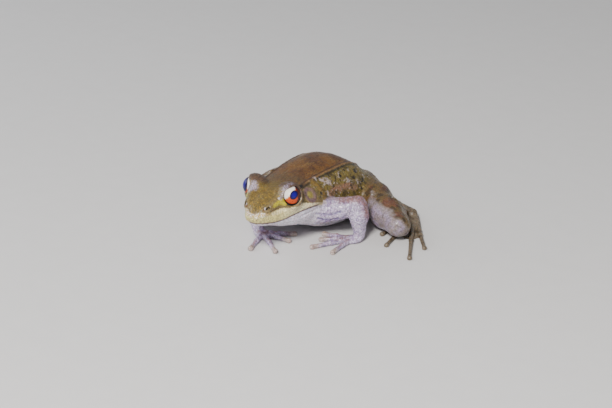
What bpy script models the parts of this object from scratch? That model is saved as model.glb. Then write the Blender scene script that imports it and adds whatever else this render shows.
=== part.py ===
"""Olive frog, life size, sitting as a still museum model.

The frog is shaped as one body from a lofted trunk and tapered limbs, then parted with thin cuts
where a person would name its parts. Sizes are in millimetres, in a frame whose X is the frog's
left, Y its rear and Z up, with Y = 0 under the eyes and Z = 0 on the floor. Meshes are written in
metres.
"""
import copy

import bpy
import numpy as np
import openvdb

# Scale and cuts
METRES = 0.001
GAP = 0.3
EDGE_ROUND = 0.25
FLOOR_SNAP = 0.08

# Head and trunk: the length from snout to vent drives the loft
SNOUT_Y = -11.0
RUMP_Y = 44.5
STATION_Y = (-11.0, -10.2, -8.0, -4.0, 0.0, 4.0, 8.0, 12.0, 17.0, 22.0, 28.0, 34.0, 39.0, 42.5, 44.5)
HALF_WIDTH = (0.0, 1.9, 3.45, 5.3, 7.2, 8.8, 9.6, 9.8, 10.3, 11.2, 11.8, 11.0, 8.6, 5.4, 0.0)
WIDEST_Z = (13.0, 12.8, 12.4, 12.0, 11.8, 11.7, 11.4, 11.0, 10.2, 9.4, 8.6, 7.8, 6.8, 5.6, 4.2)
TOP_Z = (13.0, 15.0, 16.3, 17.4, 17.9, 18.2, 18.5, 18.8, 19.2, 19.4, 18.7, 15.6, 11.4, 8.0, 4.2)
BOTTOM_Z = (13.0, 11.0, 9.9, 8.6, 7.1, 5.9, 4.7, 3.2, 1.1, -0.2, -0.6, -0.6, -0.2, 1.2, 4.2)
TOP_FULLNESS = (2.0, 2.0, 2.0, 2.0, 2.1, 2.2, 2.2, 2.2, 2.2, 2.1, 2.1, 2.1, 2.1, 2.0, 2.0)
BELLY_FULLNESS = (2.0, 2.2, 2.5, 2.6, 2.6, 2.6, 2.7, 2.8, 2.9, 2.7, 2.5, 2.3, 2.2, 2.0, 2.0)
SPINE_Y = (-11.0, 0.0, 8.0, 15.0, 24.0, 34.0, 44.5)
SPINE_X = (1.2, 0.0, -0.6, -0.8, -0.5, -0.1, 0.0)
NECK_Y = 11.2
NECK_Z = 12.0
NECK_LEAN = 0.2

# Eyes, their lids and the opening between the lids
EYE = (5.7, 0.4, 17.0)
EYE_RADIUS = 2.75
SOCKET_RADIUS = 3.05
LID_RADIUS = 3.85
LID_CENTRE = (5.45, 0.65, 16.6)
OPENING_TURN = 57.0
OPENING_LIFT = 17.0
OPENING_LONG = 60.0
OPENING_SHORT = 56.0
OPENING_LEAN = 30.0
UPPER_LID_NORMAL = (-0.532, 0.081, 0.843)
UPPER_LID_HEIGHT = 1.63

# Face: the line of the mouth dips under the snout and rises under the ear
MOUTH_Y = (-11.0, -8.0, -4.0, 0.0, 3.5, 7.5, 11.0)
MOUTH_Z = (11.9, 11.4, 11.0, 11.6, 12.1, 11.9, 11.4)
MOUTH_CORNER_Y = 10.0
MOUTH_DEPTH = 0.55
MOUTH_HALF_HEIGHT = 0.42
JAW_SET_BACK = 0.35
JAW_EDGE = 0.15
LIP_SWELL = 0.25
LIP_ABOVE_MOUTH = 1.3
LIP_SPREAD = 1.1
NOSTRIL = (3.1, -7.8, 15.6)
NOSTRIL_RADIUS = 0.45
NOSTRIL_RIM = 0.9
BROW = (4.4, -2.6, 16.9)
CANTHUS_RADIUS = 1.1
CHEEK = (6.6, -4.6, 14.4)
CHEEK_SPREAD = (3.0, 2.6, 1.1)
CHEEK_DEPTH = 0.4
TYMPANUM = (8.25, 7.3, 15.1)
TYMPANUM_RADIUS = 2.0
TYMPANUM_RIM = 0.3
TYMPANUM_DEPTH = 0.2
EAR_FOLD = ((6.7, 10.9, 17.2), (7.7, 11.8, 16.2), (8.6, 12.3, 14.9), (9.3, 12.6, 13.6), (9.9, 12.6, 12.4))
EAR_FOLD_RADIUS = 0.75
EAR_FOLD_SUNK = 0.45

# Folds along the edges of the back, as a share of the half width at each place
FOLD_Y = (4.6, 7.0, 10.0, 14.0, 18.0, 22.0, 26.0, 30.0, 34.0, 38.0)
FOLD_SHARE = (0.62, 0.62, 0.61, 0.62, 0.62, 0.60, 0.58, 0.56, 0.53, 0.48)
FOLD_RADIUS = 0.75
FOLD_SUNK = 0.35

# Limbs, left side and right side: the right hand reaches forward under the chin
ARMS = {
    "left": {
        "shoulder": (7.3, 12.4, 8.3),
        "elbow": (16.9, 17.3, 11.0),
        "wrist": (17.3, 17.2, 1.8),
        "fingers": (78.0, 57.0, 36.0, 8.0),
    },
    "right": {
        "shoulder": (-7.8, 11.0, 8.0),
        "elbow": (-15.0, 14.6, 5.9),
        "wrist": (-8.8, 6.4, 1.7),
        "fingers": (115.0, 88.0, 54.0, 24.0),
    },
}
UPPER_ARM_RADII = (3.3, 2.9, 2.35)
FOREARM_RADII = (2.3, 2.55, 1.6)
FINGER_LENGTHS = (10.2, 10.4, 13.8, 11.2)
FINGER_ROOT_RADIUS = 0.8
FINGER_RADIUS = 0.62
FINGER_TIP_RADIUS = 0.78
TIP_LENGTH = 0.9
PALM_LENGTH = 3.6
PALM_HALF_WIDTH = 2.1
PALM_HALF_HEIGHT = 1.0

LEGS = {
    "left": {
        "hip": (5.4, 38.8, 7.0),
        "knee": (26.3, 22.6, 4.8),
        "ankle": (8.6, 43.6, 2.3),
        "sole": (22.2, 38.0, 1.3),
        "toes": (-16.0, -4.0, 9.0, 27.0, 36.0),
    },
    "right": {
        "hip": (-5.0, 39.8, 7.0),
        "knee": (-21.8, 24.0, 4.7),
        "ankle": (-7.0, 46.2, 2.3),
        "sole": (-18.8, 42.0, 1.3),
        "toes": (-34.0, -23.0, -14.0, -7.0, 2.0),
    },
}
THIGH_RADII = (3.9, 4.6, 4.3, 3.1)
SHANK_RADII = (2.8, 3.3, 2.5, 1.9)
TARSUS_RADII = (1.9, 1.5, 1.7)
TOE_LENGTHS = (8.0, 12.5, 18.5, 25.0, 18.0)
TOE_ROOT_RADIUS = 0.8
TOE_RADIUS = 0.60
TOE_TIP_RADIUS = 0.72
TOE_BASE_SPREAD = 0.95
SOLE_HALF_LENGTH = 3.6
SOLE_HALF_WIDTH = 2.3
SOLE_HALF_HEIGHT = 0.95
WEB_SHARE = 0.55
WEB_UNEVENNESS = 1.25
WEB_HEIGHT = 0.55

# Widths of the fillets where forms meet
FILLETS = {
    "brow": 1.6,
    "lid": 1.0,
    "nostril_rim": 0.5,
    "fold": 0.5,
    "opening": 0.3,
    "limb_length": 1.0,
    "digit": 0.3,
    "finger_root": 0.7,
    "toe_root": 0.5,
    "web": 0.25,
    "elbow": 0.9,
    "wrist": 0.7,
    "shoulder": 1.6,
    "hip": 1.8,
    "folded_leg": 0.5,
    "foot_under_leg": 0.4,
}

# Fineness of each kind of node: voxel size, then triangles kept
FINENESS = {
    "head": (0.34, 4800),
    "torso": (0.50, 3200),
    "upper_arm": (0.50, 260),
    "forearm": (0.45, 300),
    "hand": (0.28, 900),
    "thigh": (0.60, 500),
    "shank": (0.55, 440),
    "tarsus": (0.45, 220),
    "foot": (0.28, 1300),
}
EYE_SEGMENTS = 20
EYE_RINGS = 12

# Colours of the nodes, as linear RGB, and their roughness
BROWN = (0.16, 0.085, 0.030)
OLIVE = (0.17, 0.125, 0.045)
PALE = (0.46, 0.38, 0.42)
DULL = (0.20, 0.16, 0.13)
DARK = (0.020, 0.012, 0.010)
SKIN_ROUGHNESS = 0.35
EYE_ROUGHNESS = 0.08


def point(values):
    return np.array(values, dtype=np.float64)


def unit(vector):
    return vector / np.linalg.norm(vector)


def mirrored(values, side):
    return point((abs(values[0]) * side, values[1], values[2]))


def blend(a, b, width):
    """The nearer of two distances, with a fillet of the given width where they meet."""
    share = np.maximum(width - np.abs(a - b), 0.0) / width
    return np.minimum(a, b) - share * share * width * 0.25


def blend_out(a, b, width):
    """The farther of two distances, with the edge between them rounded."""
    return -blend(-a, -b, width)


def bump(distance, width):
    return np.exp(-((distance / width) ** 2))


def curve_through(stations, values, at):
    """A smooth curve through the values at the stations, read at the places asked for."""
    stations = np.asarray(stations, dtype=np.float64)
    values = np.asarray(values, dtype=np.float64)
    slopes = np.gradient(values, stations)
    cell = np.clip(np.searchsorted(stations, at) - 1, 0, len(stations) - 2)
    span = stations[cell + 1] - stations[cell]
    t = np.clip((at - stations[cell]) / span, 0.0, 1.0)
    rise = t * t * (3.0 - 2.0 * t)
    leave = t * (1.0 - t) ** 2 * span * slopes[cell]
    arrive = -t * t * (1.0 - t) * span * slopes[cell + 1]
    return values[cell] * (1.0 - rise) + values[cell + 1] * rise + leave + arrive


def along_body(y):
    """Place along the body as an angle, so that profiles close round at the snout and the rump."""
    middle = (SNOUT_Y + RUMP_Y) / 2.0
    half_length = (RUMP_Y - SNOUT_Y) / 2.0
    return np.arccos(np.clip((middle - np.asarray(y)) / half_length, -1.0, 1.0))


def profile(values, y):
    return curve_through(along_body(STATION_Y), values, along_body(y))


def spine_shift(y):
    """How far the middle line of the head and trunk lies to the left, at each place along it."""
    return curve_through(SPINE_Y, SPINE_X, np.asarray(y, dtype=np.float64))


class Grid:
    """A box of evenly spaced places, with X, Y and Z as arrays that broadcast together."""

    def __init__(self, low, high, step):
        self.step = step
        self.low = np.floor(point(low) / step) * step
        counts = np.ceil((point(high) - self.low) / step).astype(int) + 1
        axes = [self.low[i] + step * np.arange(counts[i]) for i in range(3)]
        self.x = axes[0][:, None, None]
        self.y = axes[1][None, :, None]
        self.z = axes[2][None, None, :]

    def along_spine(self):
        """The same places, with X measured from the bent middle line of the body."""
        straight = copy.copy(self)
        straight.x = self.x - spine_shift(self.y)
        return straight

    def evened(self, field):
        """The field divided by its slope, which makes it a distance near its surface."""
        slope = np.sqrt(sum(g * g for g in np.gradient(field, self.step)))
        return field / np.maximum(slope, 0.2)

    def from_point(self, centre):
        return self.x - centre[0], self.y - centre[1], self.z - centre[2]

    def sphere(self, centre, radius):
        dx, dy, dz = self.from_point(centre)
        return np.sqrt(dx * dx + dy * dy + dz * dz) - radius

    def ellipsoid(self, centre, heading, half_length, half_width, half_height):
        """An ellipsoid lying level, with its length along a level heading."""
        dx, dy, dz = self.from_point(centre)
        along = dx * heading[0] + dy * heading[1]
        across = dx * heading[1] - dy * heading[0]
        scaled = np.sqrt((along / half_length) ** 2 + (across / half_width) ** 2 + (dz / half_height) ** 2)
        radial = np.sqrt(along**2 + across**2 + dz**2)
        return radial * (1.0 - 1.0 / np.maximum(scaled, 1e-6))

    def taper(self, start, end, start_radius, end_radius):
        """A straight length of limb, round in section, with a round end each way."""
        axis = end - start
        dx, dy, dz = self.from_point(start)
        t = (dx * axis[0] + dy * axis[1] + dz * axis[2]) / axis.dot(axis)
        t = np.clip(t, 0.0, 1.0)
        off = (dx - t * axis[0]) ** 2 + (dy - t * axis[1]) ** 2 + (dz - t * axis[2]) ** 2
        return np.sqrt(off) - (start_radius + t * (end_radius - start_radius))

    def chain(self, points, radii, width=0.0):
        """Tapered lengths from point to point, filleted where they meet."""
        found = None
        for start, end, start_radius, end_radius in zip(points, points[1:], radii, radii[1:]):
            length = self.taper(start, end, start_radius, end_radius)
            if found is None:
                found = length
            elif width > 0.0:
                found = blend(found, length, width)
            else:
                found = np.minimum(found, length)
        return found

    def level_plate(self, corners, height):
        """A flat plate with a convex outline seen from above, from the floor up to a height."""
        middle = sum(corners) / len(corners)
        outline = None
        for start, end in zip(corners, corners[1:] + corners[:1]):
            edge = end - start
            normal = unit(np.array((edge[1], -edge[0])))
            if normal.dot(middle[:2] - start[:2]) > 0:
                normal = -normal
            side = (self.x - start[0]) * normal[0] + (self.y - start[1]) * normal[1]
            outline = side if outline is None else np.maximum(outline, side)
        return np.maximum(outline, self.z - height)


def fold_line(side):
    """Points along the fold at the edge of the back, on the surface of the trunk."""
    y = point(FOLD_Y)
    share = point(FOLD_SHARE)
    fullness = profile(TOP_FULLNESS, y)
    x = profile(HALF_WIDTH, y) * share
    widest = profile(WIDEST_Z, y)
    rise = (1.0 - share**fullness) ** (1.0 / fullness)
    z = widest + (profile(TOP_Z, y) - widest) * rise
    return [point((side * a, b, c)) for a, b, c in zip(x, y, z)]


def trunk(grid):
    """Head and trunk as one loft of rounded sections from snout to rump."""
    y = np.clip(grid.y, SNOUT_Y + 0.03, RUMP_Y - 0.03)
    half_width = profile(HALF_WIDTH, y)
    widest = profile(WIDEST_Z, y)
    up = grid.z - widest
    reach = np.where(up > 0.0, profile(TOP_Z, y) - widest, widest - profile(BOTTOM_Z, y))
    fullness = np.where(up > 0.0, profile(TOP_FULLNESS, y), profile(BELLY_FULLNESS, y))
    out = np.abs(grid.x)
    section = ((out / half_width) ** fullness + (np.abs(up) / reach) ** fullness) ** (1.0 / fullness)
    radial = np.sqrt(out * out + up * up)
    field = radial * (1.0 - 1.0 / np.maximum(section, 1e-6))
    beyond = grid.y - y
    field = np.sqrt(np.maximum(field, 0.0) ** 2 + beyond**2) + np.minimum(field, 0.0)
    return grid.evened(field)


def fading(distance, width):
    """A share that falls from 1 to 0 as the distance passes 0."""
    return 1.0 / (1.0 + np.exp(np.clip(distance / width, -30.0, 30.0)))


def with_mouth(grid, field):
    """Upper lip, the line of the mouth and the lower jaw set a little behind it."""
    above = grid.z - curve_through(MOUTH_Y, MOUTH_Z, grid.y)
    within = fading(grid.y - MOUTH_CORNER_Y, 0.4)
    field = field - LIP_SWELL * bump(above - LIP_ABOVE_MOUTH, LIP_SPREAD) * within
    field = field + JAW_SET_BACK * fading(above, JAW_EDGE) * within
    groove = np.maximum(1.0 - np.abs(above) / MOUTH_HALF_HEIGHT, 0.0)
    return field + MOUTH_DEPTH * groove * within


def with_snout(grid, field, side):
    """Ridge from nostril to eye with the cheek hollowed under it, and the nostril."""
    nostril = mirrored(NOSTRIL, side)
    ridge_start = nostril + point((0.0, 0.0, -0.6))
    ridge = grid.taper(ridge_start, mirrored(BROW, side), CANTHUS_RADIUS * 0.9, CANTHUS_RADIUS)
    field = blend(field, ridge, FILLETS["brow"])
    spread = [offset / width for offset, width in zip(grid.from_point(mirrored(CHEEK, side)), CHEEK_SPREAD)]
    field = field + CHEEK_DEPTH * np.exp(-(spread[0] ** 2 + spread[1] ** 2 + spread[2] ** 2))
    rim = grid.sphere(nostril - point((side * 0.35, 0.0, 0.45)), NOSTRIL_RIM)
    field = blend(field, rim, FILLETS["nostril_rim"])
    hole = grid.sphere(nostril + point((side * 0.35, -0.1, 0.1)), NOSTRIL_RADIUS)
    return blend_out(field, -hole, 0.1)


def with_face(grid, field, side):
    """Snout, eye lids, tympanum and the folds of one side of the head and back."""
    field = with_snout(grid, field, side)
    field = blend(field, grid.sphere(mirrored(LID_CENTRE, side), LID_RADIUS), FILLETS["lid"])
    from_centre = grid.sphere(mirrored(TYMPANUM, side), 0.0)
    field = field - TYMPANUM_RIM * bump(from_centre - TYMPANUM_RADIUS, 0.42)
    field = field + TYMPANUM_DEPTH * bump(from_centre, 0.75 * TYMPANUM_RADIUS)
    fold = [p - point((side * 0.3, 0.0, FOLD_SUNK)) for p in fold_line(side)]
    radii = np.full(len(fold), FOLD_RADIUS)
    radii[-1] = FOLD_RADIUS * 0.5
    field = blend(field, grid.chain(fold, radii), FILLETS["fold"])
    ear_fold = [mirrored(p, side) - point((side * EAR_FOLD_SUNK, 0.0, 0.0)) for p in EAR_FOLD]
    ridge = grid.chain(ear_fold, np.full(len(ear_fold), EAR_FOLD_RADIUS), 0.4)
    return blend(field, ridge, FILLETS["fold"])


def opened_eye(grid, field, side):
    """The socket round the eyeball, and the leaning oval opening that the upper lid cuts across."""
    eye = mirrored(EYE, side)
    turn = np.radians(OPENING_TURN)
    lift = np.radians(OPENING_LIFT)
    lean = np.radians(OPENING_LEAN)
    axis = point((side * np.sin(turn) * np.cos(lift), -np.cos(turn) * np.cos(lift), np.sin(lift)))
    rear = unit(np.cross(point((0.0, 0.0, 1.0)), axis)) * side
    rise = np.cross(axis, rear) * side
    long_way = (rise * np.cos(lean) + rear * np.sin(lean)) / np.tan(np.radians(OPENING_LONG))
    short_way = (rear * np.cos(lean) - rise * np.sin(lean)) / np.tan(np.radians(OPENING_SHORT))
    dx, dy, dz = grid.from_point(eye)
    along, tall, wide = (dx * way[0] + dy * way[1] + dz * way[2] for way in (axis, long_way, short_way))
    cone = (np.sqrt(tall * tall + wide * wide) - along) * 0.75
    lid = UPPER_LID_NORMAL
    above_lid_edge = dx * lid[0] * side + dy * lid[1] + dz * lid[2] - UPPER_LID_HEIGHT
    opening = blend_out(cone, above_lid_edge, 2.0 * FILLETS["opening"])
    field = blend_out(field, -grid.sphere(eye, SOCKET_RADIUS), 0.1)
    return blend_out(field, -opening, FILLETS["opening"])


def shortened(points, start_by, end_by):
    """The points with the ends drawn in, so that neighbouring lengths divide cleanly at the joint."""
    moved = list(points)
    moved[0] = points[0] + unit(points[1] - points[0]) * start_by
    moved[-1] = points[-1] + unit(points[-2] - points[-1]) * end_by
    return moved


def arm_fields(grid, name, side):
    """Upper arm, forearm and hand of one side."""
    arm = ARMS[name]
    shoulder = point(arm["shoulder"])
    elbow = point(arm["elbow"])
    wrist = point(arm["wrist"])
    middle = (shoulder + elbow) / 2.0 + point((0.0, 0.0, -0.3))
    upper = shortened([shoulder, middle, elbow], 0.0, 0.5)
    bulge = elbow + (wrist - elbow) * 0.35 + point((side * 0.2, -0.3, 0.0))
    fore = shortened([elbow, bulge, wrist], 0.5, 0.4)
    yield "upper_arm_" + name, grid.chain(upper, UPPER_ARM_RADII, FILLETS["limb_length"])
    yield "forearm_" + name, grid.chain(fore, FOREARM_RADII, FILLETS["limb_length"])
    yield "hand_" + name, hand_field(grid, wrist, arm["fingers"], side)


def heading(degrees, side, inward):
    """A level direction, forward and turned towards the middle line or away from it."""
    turn = np.radians(degrees) * inward
    return point((-side * np.sin(turn), -np.cos(turn), 0.0))


def hand_field(grid, wrist, angles, side):
    """A flat palm and four fingers spread on the floor, each with a slightly swollen tip."""
    lead = heading(sum(angles) / len(angles), side, 1.0)
    palm_centre = wrist * point((1.0, 1.0, 0.0)) + lead * PALM_LENGTH * 0.5 + point((0.0, 0.0, 0.85))
    found = grid.ellipsoid(palm_centre, lead, PALM_LENGTH * 0.72, PALM_HALF_WIDTH, PALM_HALF_HEIGHT)
    for angle, length in zip(angles, FINGER_LENGTHS):
        ray = heading(angle, side, 1.0)
        root = palm_centre + unit(ray + lead * 0.6) * PALM_LENGTH * 0.25
        root[2] = 0.9
        tip = wrist + ray * length
        tip[2] = 0.55
        knuckle = root * 0.5 + tip * 0.5
        knuckle[2] = 0.85
        before_tip = tip - unit(tip - knuckle) * TIP_LENGTH
        points = [root, knuckle, before_tip, tip]
        radii = (FINGER_ROOT_RADIUS, FINGER_RADIUS, FINGER_RADIUS * 0.95, FINGER_TIP_RADIUS)
        found = blend(found, grid.chain(points, radii, FILLETS["digit"]), FILLETS["finger_root"])
    return found


def leg_fields(grid, name, side):
    """Thigh, shank, tarsus and foot of one side, folded as in a sitting frog."""
    leg = LEGS[name]
    hip = point(leg["hip"])
    knee = point(leg["knee"])
    ankle = point(leg["ankle"])
    sole = point(leg["sole"])
    mid_thigh = hip + (knee - hip) * 0.38 + point((0.0, -0.8, 0.2))
    low_thigh = hip + (knee - hip) * 0.70 + point((0.0, -0.4, 0.2))
    thigh = shortened([hip, mid_thigh, low_thigh, knee], 0.0, 0.4)
    shank_knee = knee + point((side * 0.1, 1.2, -0.5))
    calf = knee + (ankle - knee) * 0.36 + point((side * 0.4, 0.6, -0.1))
    low_shank = knee + (ankle - knee) * 0.76 + point((side * 0.2, 0.2, -0.1))
    shank = shortened([shank_knee, calf, low_shank, ankle + point((0.0, 0.0, 0.4))], 0.0, 0.6)
    mid_tarsus = (ankle + sole) / 2.0 + point((0.0, 0.0, -0.1))
    tarsus = shortened([ankle, mid_tarsus, sole + point((0.0, 0.0, 0.3))], 0.5, 0.4)
    yield "thigh_" + name, grid.chain(thigh, THIGH_RADII, 1.5)
    yield "shank_" + name, grid.chain(shank, SHANK_RADII, 1.2)
    yield "tarsus_" + name, grid.chain(tarsus, TARSUS_RADII, 0.8)
    yield "foot_" + name, foot_field(grid, sole, leg["toes"], side)


def no_longer_than(vector, length):
    return vector * min(1.0, length / np.linalg.norm(vector))


def foot_field(grid, sole, angles, side):
    """A flat sole and five toes of unequal length, webbed for about half their length."""
    lead = heading(angles[2], side, -1.0)
    across = point((-lead[1], lead[0], 0.0)) * side
    centre = sole * point((1.0, 1.0, 0.0)) + lead * 1.6 + point((0.0, 0.0, 0.75))
    found = grid.ellipsoid(centre, lead, SOLE_HALF_LENGTH, SOLE_HALF_WIDTH, SOLE_HALF_HEIGHT)
    edges = []
    for index, (angle, length) in enumerate(zip(angles, TOE_LENGTHS)):
        ray = heading(angle, side, -1.0)
        root = centre + across * (index - 2) * TOE_BASE_SPREAD
        root[2] = 0.65
        tip = root + ray * length
        tip[2] = 0.5
        knuckle = root * 0.45 + tip * 0.55 + across * (2 - index) * 0.1
        knuckle[2] = 0.58
        before_tip = tip - unit(tip - knuckle) * TIP_LENGTH
        points = [root, knuckle, before_tip, tip]
        radii = (TOE_ROOT_RADIUS, TOE_RADIUS, TOE_RADIUS * 0.85, TOE_TIP_RADIUS)
        found = blend(found, grid.chain(points, radii, FILLETS["digit"]), FILLETS["toe_root"])
        edges.append((root, (tip - root) * WEB_SHARE))
    for (root_a, edge_a), (root_b, edge_b) in zip(edges, edges[1:]):
        reach = min(np.linalg.norm(edge_a), np.linalg.norm(edge_b)) * WEB_UNEVENNESS
        far_a = root_a + no_longer_than(edge_a, reach)
        far_b = root_b + no_longer_than(edge_b, reach)
        web = grid.level_plate([root_a, far_a, far_b, root_b], WEB_HEIGHT)
        found = blend(found, web, FILLETS["web"])
    return found


def flesh(grid):
    """The whole skin surface as one field, and the field of each part that shares it."""
    spine = grid.along_spine()
    body = with_mouth(spine, trunk(spine))
    for side in (1, -1):
        body = with_face(spine, body, side)
    slant = (1.0 + NECK_LEAN**2) ** 0.5
    neck = ((grid.y - NECK_Y) - NECK_LEAN * (grid.z - NECK_Z)) / slant
    parts = {"head": np.maximum(body, neck), "torso": np.maximum(body, -neck)}
    whole = body
    for name, side in (("left", 1), ("right", -1)):
        arm = dict(arm_fields(grid, name, side))
        parts.update(arm)
        upper, fore, hand = arm.values()
        limb = blend(blend(upper, fore, FILLETS["elbow"]), hand, FILLETS["wrist"])
        whole = blend(whole, limb, FILLETS["shoulder"])
        leg = dict(leg_fields(grid, name, side))
        parts.update(leg)
        thigh, shank, tarsus, foot = leg.values()
        folded = blend(blend(whole, thigh, FILLETS["hip"]), shank, FILLETS["folded_leg"])
        whole = blend(folded, blend(tarsus, foot, FILLETS["wrist"]), FILLETS["foot_under_leg"])
    for side in (1, -1):
        whole = opened_eye(spine, whole, side)
    return whole, parts


def coarse_boxes():
    """The lowest and highest corners of every part of the flesh, with room to spare."""
    grid = Grid((-44.0, -14.0, -1.5), (44.0, 54.0, 23.0), 1.0)
    whole, parts = flesh(grid)
    names = list(parts)
    stack = np.stack([np.broadcast_to(parts[name], whole.shape) for name in names])
    nearest = stack.argmin(axis=0)
    boxes = {}
    for index, name in enumerate(names):
        held = np.argwhere((nearest == index) & (whole < 0.6))
        low = grid.low + (held.min(axis=0) - 2.0) * grid.step
        high = grid.low + (held.max(axis=0) + 2.0) * grid.step
        boxes[name] = (low, high)
    return boxes


def node_field(name, box, step):
    """The part of the whole frog that is nearest to this node, half a gap short of its neighbours."""
    grid = Grid(*box, step)
    whole, parts = flesh(grid)
    own = parts.pop(name)
    others = None
    for field in parts.values():
        others = field if others is None else np.minimum(others, field)
    apart = grid.evened(own - others) + GAP / 2.0
    field = blend_out(whole, apart, EDGE_ROUND)
    floor = np.broadcast_to(-grid.z, field.shape)
    return grid, np.maximum(field, floor)


def largest_piece(mesh):
    """Marks the points that belong to the largest connected surface."""
    count = len(mesh.vertices)
    edges = np.empty(len(mesh.edges) * 2, dtype=np.int32)
    mesh.edges.foreach_get("vertices", edges)
    edges = edges.reshape(-1, 2)
    label = np.arange(count)
    while True:
        lowest = np.minimum(label[edges[:, 0]], label[edges[:, 1]])
        updated = label.copy()
        np.minimum.at(updated, edges[:, 0], lowest)
        np.minimum.at(updated, edges[:, 1], lowest)
        updated = updated[updated]
        if (updated == label).all():
            break
        label = updated
    names, sizes = np.unique(label, return_counts=True)
    return label == names[sizes.argmax()]


def surface_mesh(name, grid, field):
    """The zero surface of the field as a Blender mesh of its largest piece."""
    volume = openvdb.FloatGrid(float(field.max()))
    volume.copyFromArray(field.astype(np.float32))
    points, quads = volume.convertToQuads(isovalue=0.0)
    points = points * grid.step + grid.low
    points[:, 2] = np.where(points[:, 2] < FLOOR_SNAP, 0.0, points[:, 2])
    mesh = bpy.data.meshes.new(name)
    mesh.from_pydata(points * METRES, [], quads.tolist())
    mesh.update()
    kept = largest_piece(mesh)
    if not kept.all():
        index = np.cumsum(kept) - 1
        quads = index[quads[kept[quads[:, 0]]]]
        mesh.clear_geometry()
        mesh.from_pydata(points[kept] * METRES, [], quads.tolist())
        mesh.update()
    return mesh


def thinned(obj, triangles):
    """Applies a Decimate that leaves about this many triangles."""
    now = 2 * len(obj.data.polygons)
    modifier = obj.modifiers.new("Thin", "DECIMATE")
    modifier.ratio = min(1.0, triangles / now)
    modifier.use_collapse_triangulate = True
    graph = bpy.context.evaluated_depsgraph_get()
    mesh = bpy.data.meshes.new_from_object(obj.evaluated_get(graph))
    old = obj.data
    obj.modifiers.clear()
    obj.data = mesh
    bpy.data.meshes.remove(old)
    mesh.name = obj.name
    for vertex in mesh.vertices:
        if vertex.co.z < FLOOR_SNAP * METRES:
            vertex.co.z = 0.0


def skin_material(name, colour, roughness):
    material = bpy.data.materials.new(name)
    material.use_nodes = True
    shader = material.node_tree.nodes["Principled BSDF"]
    shader.inputs["Base Color"].default_value = (*colour, 1.0)
    shader.inputs["Roughness"].default_value = roughness
    shader.inputs["Metallic"].default_value = 0.0
    material.diffuse_color = (*colour, 1.0)
    return material


def node_colour(kind):
    if kind == "head":
        return OLIVE
    if kind in ("torso", "thigh", "shank"):
        return BROWN
    if kind in ("tarsus", "foot"):
        return DULL
    return PALE


def add_node(collection, base, name, mesh, colour, roughness):
    obj = bpy.data.objects.new(name, mesh)
    collection.objects.link(obj)
    obj.parent = base
    mesh.materials.append(skin_material(name, colour, roughness))
    return obj


def add_flesh(collection, base):
    for name, box in coarse_boxes().items():
        kind = name.replace("_left", "").replace("_right", "")
        step, triangles = FINENESS[kind]
        grid, field = node_field(name, box, step)
        mesh = surface_mesh(name, grid, field)
        obj = add_node(collection, base, name, mesh, node_colour(kind), SKIN_ROUGHNESS)
        thinned(obj, triangles)
        obj.data.shade_smooth()


def add_eyes(collection, base):
    for name, side in (("eye_left", 1), ("eye_right", -1)):
        bpy.ops.mesh.primitive_uv_sphere_add(
            segments=EYE_SEGMENTS, ring_count=EYE_RINGS, radius=EYE_RADIUS * METRES
        )
        ball = bpy.context.object
        mesh = ball.data
        bpy.data.objects.remove(ball)
        mesh.name = name
        eye = add_node(collection, base, name, mesh, DARK, EYE_ROUGHNESS)
        shift = spine_shift(EYE[1])
        eye.location = (mirrored(EYE, side) + point((shift, 0.0, 0.0))) * METRES
        mesh.shade_smooth()


def centre_on_footprint(base):
    """Moves the whole frog so that the middle of its box is over the origin."""
    bpy.context.view_layer.update()
    corners = np.array(
        [obj.matrix_world @ vertex.co for obj in base.children for vertex in obj.data.vertices]
    )
    middle = (corners.min(axis=0) + corners.max(axis=0)) / 2.0
    base.location = (-middle[0], -middle[1], 0.0)


for existing in list(bpy.data.objects):
    bpy.data.objects.remove(existing)
frog = bpy.data.collections.new("olive_frog")
bpy.context.scene.collection.children.link(frog)
root = bpy.data.objects.new("olive_frog_root", None)
frog.objects.link(root)
add_flesh(frog, root)
add_eyes(frog, root)
centre_on_footprint(root)
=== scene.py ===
import copy
import math
import random

import bmesh
import bpy
import mathutils
import numpy as np
import openvdb
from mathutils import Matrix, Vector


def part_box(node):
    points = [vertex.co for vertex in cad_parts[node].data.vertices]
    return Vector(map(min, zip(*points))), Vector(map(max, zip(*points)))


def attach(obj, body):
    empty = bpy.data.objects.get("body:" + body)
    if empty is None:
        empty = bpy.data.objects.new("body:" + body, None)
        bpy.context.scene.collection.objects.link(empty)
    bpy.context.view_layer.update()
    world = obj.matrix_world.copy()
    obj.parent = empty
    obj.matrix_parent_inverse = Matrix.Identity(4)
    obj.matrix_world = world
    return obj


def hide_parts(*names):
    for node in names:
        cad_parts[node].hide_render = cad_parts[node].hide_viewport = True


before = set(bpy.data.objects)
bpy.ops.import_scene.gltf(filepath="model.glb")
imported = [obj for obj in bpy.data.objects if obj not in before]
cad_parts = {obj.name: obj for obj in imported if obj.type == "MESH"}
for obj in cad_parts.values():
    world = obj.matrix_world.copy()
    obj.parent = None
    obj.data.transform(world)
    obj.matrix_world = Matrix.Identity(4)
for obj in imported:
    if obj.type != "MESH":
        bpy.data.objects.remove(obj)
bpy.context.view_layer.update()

mm = 0.001

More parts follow.
